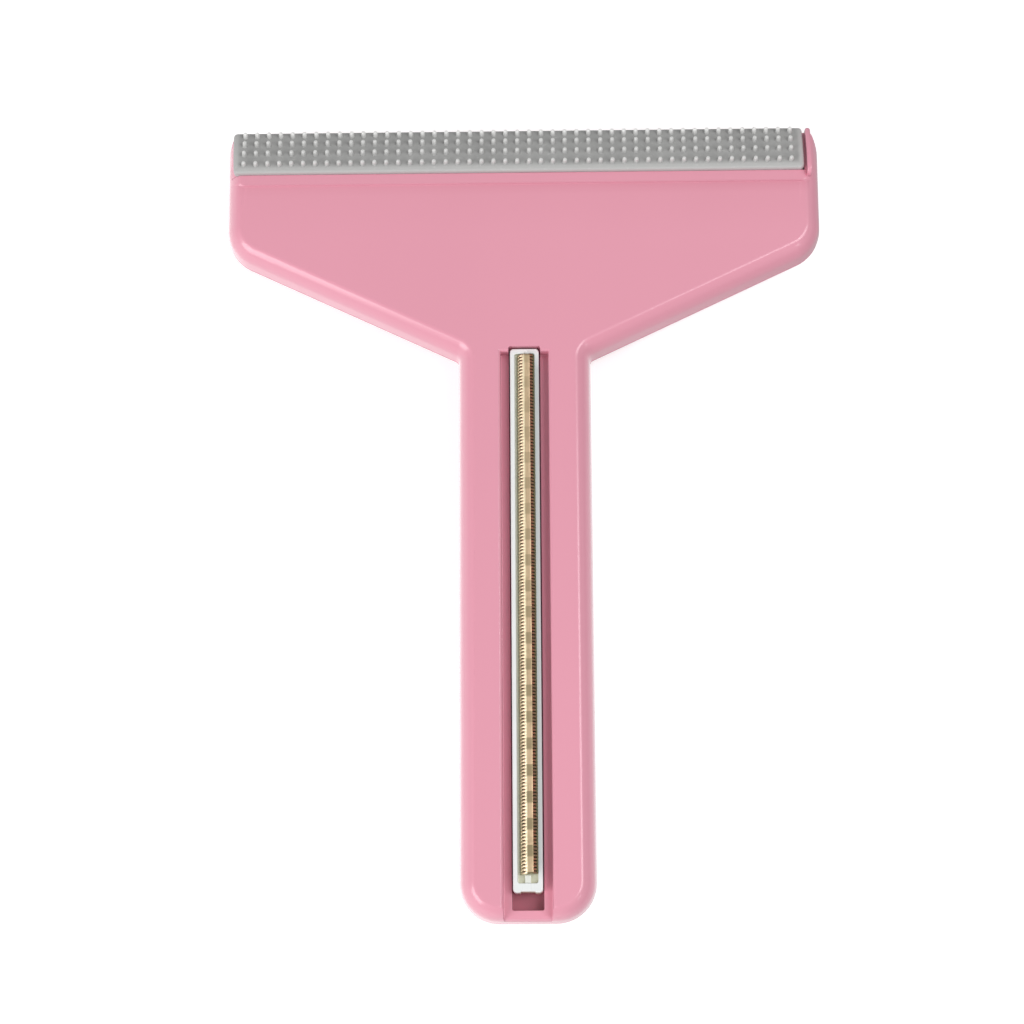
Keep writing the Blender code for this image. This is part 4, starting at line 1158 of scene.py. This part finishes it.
class SHAVER_OT_strip_rail(bpy.types.Operator):
    """Build the stiff rail behind the pad, with its T-shaped foot and its end plate"""
    bl_idname = "shaver.strip_rail"
    bl_label = "Strip rail"

    def execute(self, context):
        body, strip, comb, _ = sizes()
        pad = PadFrame(body, strip)
        outer = strip.radius - strip.thickness - CLEARANCE
        inner = outer - RAIL_THICKNESS
        top = inner - CLEARANCE - GROOVE_LIP - CLEARANCE
        halves = NECK_WIDTH / 2 / (inner - CLEARANCE), FOOT_WIDTH / 2 / top
        tee = tee_section(pad, (inner, top, top - FOOT_THICKNESS), halves, pad.low, pad.high, (8, 8))
        edge = CLEARANCE / outer
        section = np.concatenate([pad.line(outer, pad.low + edge, pad.high - edge, 16), tee[::-1]])
        end = CLEARANCE * 3
        rail = bar("strip_rail_moulding", section, pad.left + end, pad.right - end)
        round_edges = rail.modifiers.new("rounded_edges", "BEVEL")
        round_edges.width = 0.00012
        round_edges.segments = 2
        round_edges.limit_method = "ANGLE"
        round_edges.angle_limit = math.radians(40.0)
        soften(rail, SOFT_CREASE)
        white = finish_of("white_plastic", white_plastic, comb.carrier_colour)
        finish_piece(rail, white, "strip_cartridge", "strip_rail")
        plate = soften(end_plate_form(body, strip, pad), MOULDED_CREASE)
        pink = finish_of("pink_plastic", pink_plastic, body.colour)
        finish_piece(plate, pink, "strip_cartridge", "strip_rail")
        return {"FINISHED"}


# The cartridge: heights from the back, and distances from the handle's end
CARRIER_BOTTOM = 0.0083
CARRIER_TOP = 0.0138
CARRIER_START = 0.0065
CARRIER_STOP = 0.1319
TROUGH_START = 0.0086
TROUGH_STOP = 0.1307
COMB_START = 0.01062
COMB_STOP = 0.1304
COMB_BOTTOM = 0.0130
COMB_TOP = 0.0148
# How far the carrier's cutters run past it
CARRIER_OVERRUN = 0.004


def carrier_block(comb):
    """The carrier's rounded block: a quarter-round at its lower and at its upper edges."""
    corner, soft = 0.0008, 0.00028
    half = comb.carrier_width / 2
    points, inward = rounded_rectangle((-half, CARRIER_START), (half, CARRIER_STOP), corner)
    turn = np.linspace(0.0, math.pi / 2, 6)
    steps = [(soft * (1 - math.sin(a)), CARRIER_BOTTOM + soft * (1 - math.cos(a))) for a in turn]
    steps += [(soft * (1 - math.cos(a)), CARRIER_TOP - soft * (1 - math.sin(a))) for a in turn]
    steps.append((soft * 1.2, CARRIER_TOP))
    return pillow("comb_carrier_moulding", points, inward, steps)


def trough_cutter(comb, floor):
    """The troughs' hollow: a fillet at the floor, and a small flare at the rim."""
    corner, rim, fillet, spread = 0.0005, 0.0002, 0.0003, 0.00001
    half = comb.carrier_width / 2 - comb.carrier_rim
    points, inward = rounded_rectangle((-half, TROUGH_START), (half, TROUGH_STOP), corner)
    turn = np.linspace(0.0, math.pi / 2, 6)
    bend = np.linspace(0.0, math.radians(78.0), 5)
    steps = [(fillet * (1 - math.sin(a)), floor + fillet * (1 - math.cos(a))) for a in turn]
    steps += [(-rim * (1 - math.cos(a)), CARRIER_TOP - rim + rim * math.sin(a)) for a in bend]
    steps.append((steps[-1][0] - spread, CARRIER_TOP + CARRIER_OVERRUN))
    return pillow("trough", points, inward, steps)


def notch_cutter():
    """The shallow notch in the carrier's lower end."""
    half, depth, corner = 0.0017, 0.00025, 0.0002
    points, inward = rounded_rectangle((-half, CARRIER_START - OVERRUN),
                                       (half, CARRIER_START + depth), corner)
    return pillow("notch", points, inward, [(0.0, CARRIER_BOTTOM - CARRIER_OVERRUN),
                                            (0.0, CARRIER_TOP + CARRIER_OVERRUN)])


def rib_form(name, x, low_half, high_half, start, stop, low, high):
    """A tapered rib along y, with a small rounding on its crest."""
    soft = min(high_half * 0.6, 0.0002)
    taper = low_half - high_half
    steps = [(0.0, low), (taper, high - soft), (taper + soft * 0.3, high - soft * 0.3),
             (taper + soft, high)]
    points = np.array([(x - low_half, start), (x + low_half, start),
                       (x + low_half, stop), (x - low_half, stop)])
    inward = np.array([(1.0, 0.0), (-1.0, 0.0), (-1.0, 0.0), (1.0, 0.0)])
    return pillow(name, points, inward, steps)


class SHAVER_OT_comb_carrier(bpy.types.Operator):
    """Build the white carrier with its two troughs and its rib"""
    bl_idname = "shaver.comb_carrier"
    bl_label = "Comb carrier"

    def execute(self, context):
        comb = sizes()[2]
        floor = CARRIER_TOP - comb.trough_depth
        root = floor - 0.0008
        carrier = carrier_block(comb)
        combine(carrier, [trough_cutter(comb, floor), notch_cutter()], "DIFFERENCE")
        rib = rib_form("rib", comb.spine_shift, 0.0006, 0.0003, COMB_START + 0.0001,
                       TROUGH_STOP + 0.0005, root, COMB_TOP - comb.sheet - CLEARANCE)
        rib_end = rib_form("rib_end", 0.0, 0.0008, 0.00070, TROUGH_START - 0.001,
                           COMB_START - CLEARANCE, root, CARRIER_TOP - CLEARANCE)
        combine(carrier, [rib, rib_end], "UNION")
        soften(carrier, MOULDED_CREASE)
        white = finish_of("white_plastic", white_plastic, comb.carrier_colour)
        finish_piece(carrier, white, "spare_comb", "comb_carrier")
        return {"FINISHED"}


def comb_flank(run, first):
    """(distance from the spine's edge, height) down a flank: a small fold, then a wide arc.

    The arc has x = R sin t and z = R cos t, where t is the slope's angle. It starts at the
    slope where the fold ends.
    """
    fold = 0.00025
    wide = run - fold * math.sin(first)
    drop = COMB_TOP - COMB_BOTTOM - fold * (1 - math.cos(first))
    last = 2 * math.atan2(drop, wide) - first
    radius = wide / (math.sin(last) - math.sin(first))
    turn = np.linspace(0.0, first, 4)
    slope = np.linspace(first, last, 7)[1:]
    away = np.concatenate([fold * np.sin(turn), run - radius * (math.sin(last) - np.sin(slope))])
    height = np.concatenate([COMB_TOP - fold * (1 - np.cos(turn)),
                             COMB_BOTTOM + radius * (np.cos(slope) - math.cos(last))])
    return away, height


def comb_sheet(comb):
    """Points and quads of the sheet's outer face: place round the section by distance along y.

    Cells of the flanks are left out at the slits, which lean a little on the left flank. A
    narrow bar near each flank's edge runs through, and joins the teeth's tips.
    """
    slit_lean = 0.12
    left_root, right_root, bar_place = 5.0, 4.0, 8.5
    half = comb.spine_width / 2
    left_away, left_height = comb_flank(comb.left_run, math.radians(20.0))
    right_away, right_height = comb_flank(comb.right_run, math.radians(36.0))
    x = np.concatenate([comb.spine_shift - (half + left_away[::-1]), [comb.spine_shift],
                        comb.spine_shift + (half + right_away)])
    z = np.concatenate([left_height[::-1], [COMB_TOP], right_height])
    across = len(x)
    middle = across // 2
    lean = np.zeros(across)
    lean[:middle] = -slit_lean * left_away[::-1]
    tooth = comb.pitch - comb.slit
    teeth = round((COMB_STOP - COMB_START - tooth) / comb.pitch) + 1
    first = COMB_START + np.arange(teeth) * comb.pitch
    y = np.stack([first, first + comb.pitch - comb.slit], 1).reshape(-1)
    grid = np.stack(np.broadcast_arrays(x[None], y[:, None] + lean[None], z[None]), -1)
    i, j = np.meshgrid(np.arange(len(y) - 1), np.arange(across - 1), indexing="ij")
    after = (i + 1) * across + j
    quads = np.stack([i * across + j, i * across + j + 1, after + 1, after], -1)
    place = np.arange(across - 1) + 0.5 - middle
    solid = (np.abs(place) < np.where(place < 0, left_root, right_root)) | (np.abs(place) == bar_place)
    used, where = np.unique(quads[(i % 2 == 0) | solid[None]], return_inverse=True)
    return grid.reshape(-1, 3)[used], where.reshape(-1, 4)


class SHAVER_OT_brass_comb(bpy.types.Operator):
    """Build the folded brass comb with its rows of teeth"""
    bl_idname = "shaver.brass_comb"
    bl_label = "Brass comb"

    def execute(self, context):
        comb = sizes()[2]
        points, faces = comb_sheet(comb)
        mesh = bpy.data.meshes.new("folded_brass")
        mesh.from_pydata(points.tolist(), [], faces.tolist())
        piece = bpy.data.objects.new("folded_brass", mesh)
        context.scene.collection.objects.link(piece)
        wall = piece.modifiers.new("sheet", "SOLIDIFY")
        wall.thickness = comb.sheet
        wall.offset = -1.0
        wall.use_even_offset = True
        soften(piece, SHEET_CREASE)
        brass = finish_of("brass_sheet", brass_sheet, comb.brass_colour)
        finish_piece(piece, brass, "spare_comb", "brass_comb")
        return {"FINISHED"}


def floor_finish(colour):
    """A pale floor that keeps the object's shadow and shows as white to the camera.

    In gloss it is a white card on the left that falls off to a grey one on the right.
    """
    glow, white_card, grey_card = 0.57, 1.4, 0.25
    finish = Finish("pale_floor")
    path = finish.node("ShaderNodeLightPath").outputs
    seen = finish.math("MAXIMUM", path["Is Camera Ray"], path["Is Transmission Ray"])
    tone = finish.blend(finish.noise(14.0, 3.0, 0.5), shade(colour, 0.995), shade(colour, 1.0))
    finish.dress(Base_Color=tone, Roughness=0.9, Specular_IOR_Level=0.0)
    lit = finish.node("ShaderNodeEmission", Strength=finish.product(seen, glow))
    card = finish.node("ShaderNodeEmission",
                       Strength=finish.ramp(finish.axes()[0], -0.02, 0.10, white_card, grey_card))
    both = finish.node("ShaderNodeAddShader")
    finish.feed(both.inputs[0], finish.shader.outputs["BSDF"])
    finish.feed(both.inputs[1], lit.outputs["Emission"])
    surface = finish.node("ShaderNodeMixShader")
    finish.feed(surface.inputs[0], path["Is Glossy Ray"])
    finish.feed(surface.inputs[1], both.outputs["Shader"])
    finish.feed(surface.inputs[2], card.outputs["Emission"])
    finish.feed(finish.tree.nodes["Material Output"].inputs["Surface"], surface.outputs["Shader"])
    return finish.material


def lay_floor(stage):
    """A square floor just under the back of the tool."""
    reach, gap = 3.0, 0.00005
    points = [(-reach, -reach, -gap), (reach, -reach, -gap), (reach, reach, -gap), (-reach, reach, -gap)]
    mesh = bpy.data.meshes.new("floor")
    mesh.from_pydata(points, [], [(0, 1, 2, 3)])
    floor = bpy.data.objects.new("floor", mesh)
    mesh.materials.append(floor_finish(tuple(stage.floor_colour)))
    bpy.context.scene.collection.objects.link(floor)


def hang_sky(stage):
    """An even white sky, brighter where gloss mirrors it and plain white to the camera."""
    world = bpy.data.worlds.new("studio_light")
    world.use_nodes = True
    nodes, links = world.node_tree.nodes, world.node_tree.links
    path = nodes.new("ShaderNodeLightPath")
    gloss = nodes.new("ShaderNodeMapRange")
    links.new(path.outputs["Is Glossy Ray"], gloss.inputs["Value"])
    gloss.inputs["To Min"].default_value = stage.sky
    gloss.inputs["To Max"].default_value = stage.gloss_sky
    white = nodes.new("ShaderNodeMath")
    white.operation = "MAXIMUM"
    links.new(gloss.outputs["Result"], white.inputs[0])
    links.new(path.outputs["Is Camera Ray"], white.inputs[1])
    nodes["Background"].inputs["Color"].default_value = (1.0, 1.0, 1.0, 1.0)
    links.new(white.outputs["Value"], nodes["Background"].inputs["Strength"])
    bpy.context.scene.world = world


def soft_lamp(name, place, side, power):
    """A square area lamp that faces the middle of the tool's back."""
    data = bpy.data.lights.new(name, "AREA")
    data.shape = "SQUARE"
    data.size = side
    data.energy = power
    lamp = bpy.data.objects.new(name, data)
    lamp.location = place
    lamp.rotation_euler = (-Vector(place)).to_track_quat("-Z", "Y").to_euler()
    bpy.context.scene.collection.objects.link(lamp)


def set_camera(stage):
    """The camera: its axes are turned to the left, then leaned back, then rolled."""
    data = bpy.data.cameras.new("camera")
    data.lens = stage.lens
    data.sensor_width = 36.0
    data.clip_start = 0.01
    camera = bpy.data.objects.new("camera", data)
    tilt, yaw, roll = stage.camera_tilt, stage.camera_yaw, stage.camera_roll
    right = Vector((math.cos(yaw), 0.0, -math.sin(yaw)))
    straight = Vector((math.sin(yaw), 0.0, math.cos(yaw)))
    ahead = Vector((0.0, 1.0, 0.0))
    up = ahead * math.cos(tilt) + straight * math.sin(tilt)
    back = straight * math.cos(tilt) - ahead * math.sin(tilt)
    turned_right = right * math.cos(roll) - up * math.sin(roll)
    turned_up = right * math.sin(roll) + up * math.cos(roll)
    turn = Matrix((turned_right, turned_up, back)).transposed()
    camera.matrix_world = Matrix.Translation(stage.camera_place) @ turn.to_4x4()
    bpy.context.scene.collection.objects.link(camera)
    bpy.context.scene.camera = camera


class SHAVER_OT_stage(bpy.types.Operator):
    """Lay the floor, hang the lamps and set up the camera"""
    bl_idname = "shaver.stage"
    bl_label = "Stage"

    def execute(self, context):
        stage = sizes()[3]
        lay_floor(stage)
        hang_sky(stage)
        soft_lamp("key_lamp", (-0.90, -0.55, 0.59), 0.75, stage.key)
        soft_lamp("top_lamp", (0.62, 0.0, 1.05), 0.60, stage.top)
        soft_lamp("glint_lamp", (0.634, -0.478, 0.305), 0.12, stage.glint)
        set_camera(stage)
        context.scene.view_settings.view_transform = "Standard"
        return {"FINISHED"}


class SHAVER_PT_pieces(bpy.types.Panel):
    """Sizes, colours and a button for each piece"""
    bl_idname = "SHAVER_PT_pieces"
    bl_label = "Lint Shaver"
    bl_space_type = "VIEW_3D"
    bl_region_type = "UI"
    bl_category = "Lint Shaver"

    def draw(self, context):
        for group in sizes():
            column = self.layout.column(align=True)
            for key in group.bl_rna.properties.keys():
                if key not in ("rna_type", "name"):
                    column.prop(group, key)
        for operator in OPERATORS:
            self.layout.operator(operator.bl_idname)


GROUPS = {
    "shaver_body": BodySizes,
    "shaver_strip": StripSizes,
    "shaver_comb": CombSizes,
    "shaver_stage": StageSizes,
}
OPERATORS = (
    SHAVER_OT_stage,
    SHAVER_OT_front_shell,
    SHAVER_OT_back_cover,
    SHAVER_OT_silicone_strip,
    SHAVER_OT_strip_rail,
    SHAVER_OT_comb_carrier,
    SHAVER_OT_brass_comb,
)


def register():
    """Register the classes and hang the property groups on the scene."""
    for item in (*GROUPS.values(), *OPERATORS, SHAVER_PT_pieces):
        bpy.utils.register_class(item)
    for key, group in GROUPS.items():
        setattr(bpy.types.Scene, key, bpy.props.PointerProperty(type=group))


def unregister():
    """Take the property groups and the classes away again."""
    for key in GROUPS:
        delattr(bpy.types.Scene, key)
    for item in (SHAVER_PT_pieces, *reversed(OPERATORS), *reversed(GROUPS.values())):
        bpy.utils.unregister_class(item)


def main():
    """Build every piece."""
    register()
    bpy.ops.shaver.stage()
    bpy.ops.shaver.front_shell()
    bpy.ops.shaver.back_cover()
    bpy.ops.shaver.silicone_strip()
    bpy.ops.shaver.strip_rail()
    bpy.ops.shaver.comb_carrier()
    bpy.ops.shaver.brass_comb()


if __name__ == "__main__":
    main()
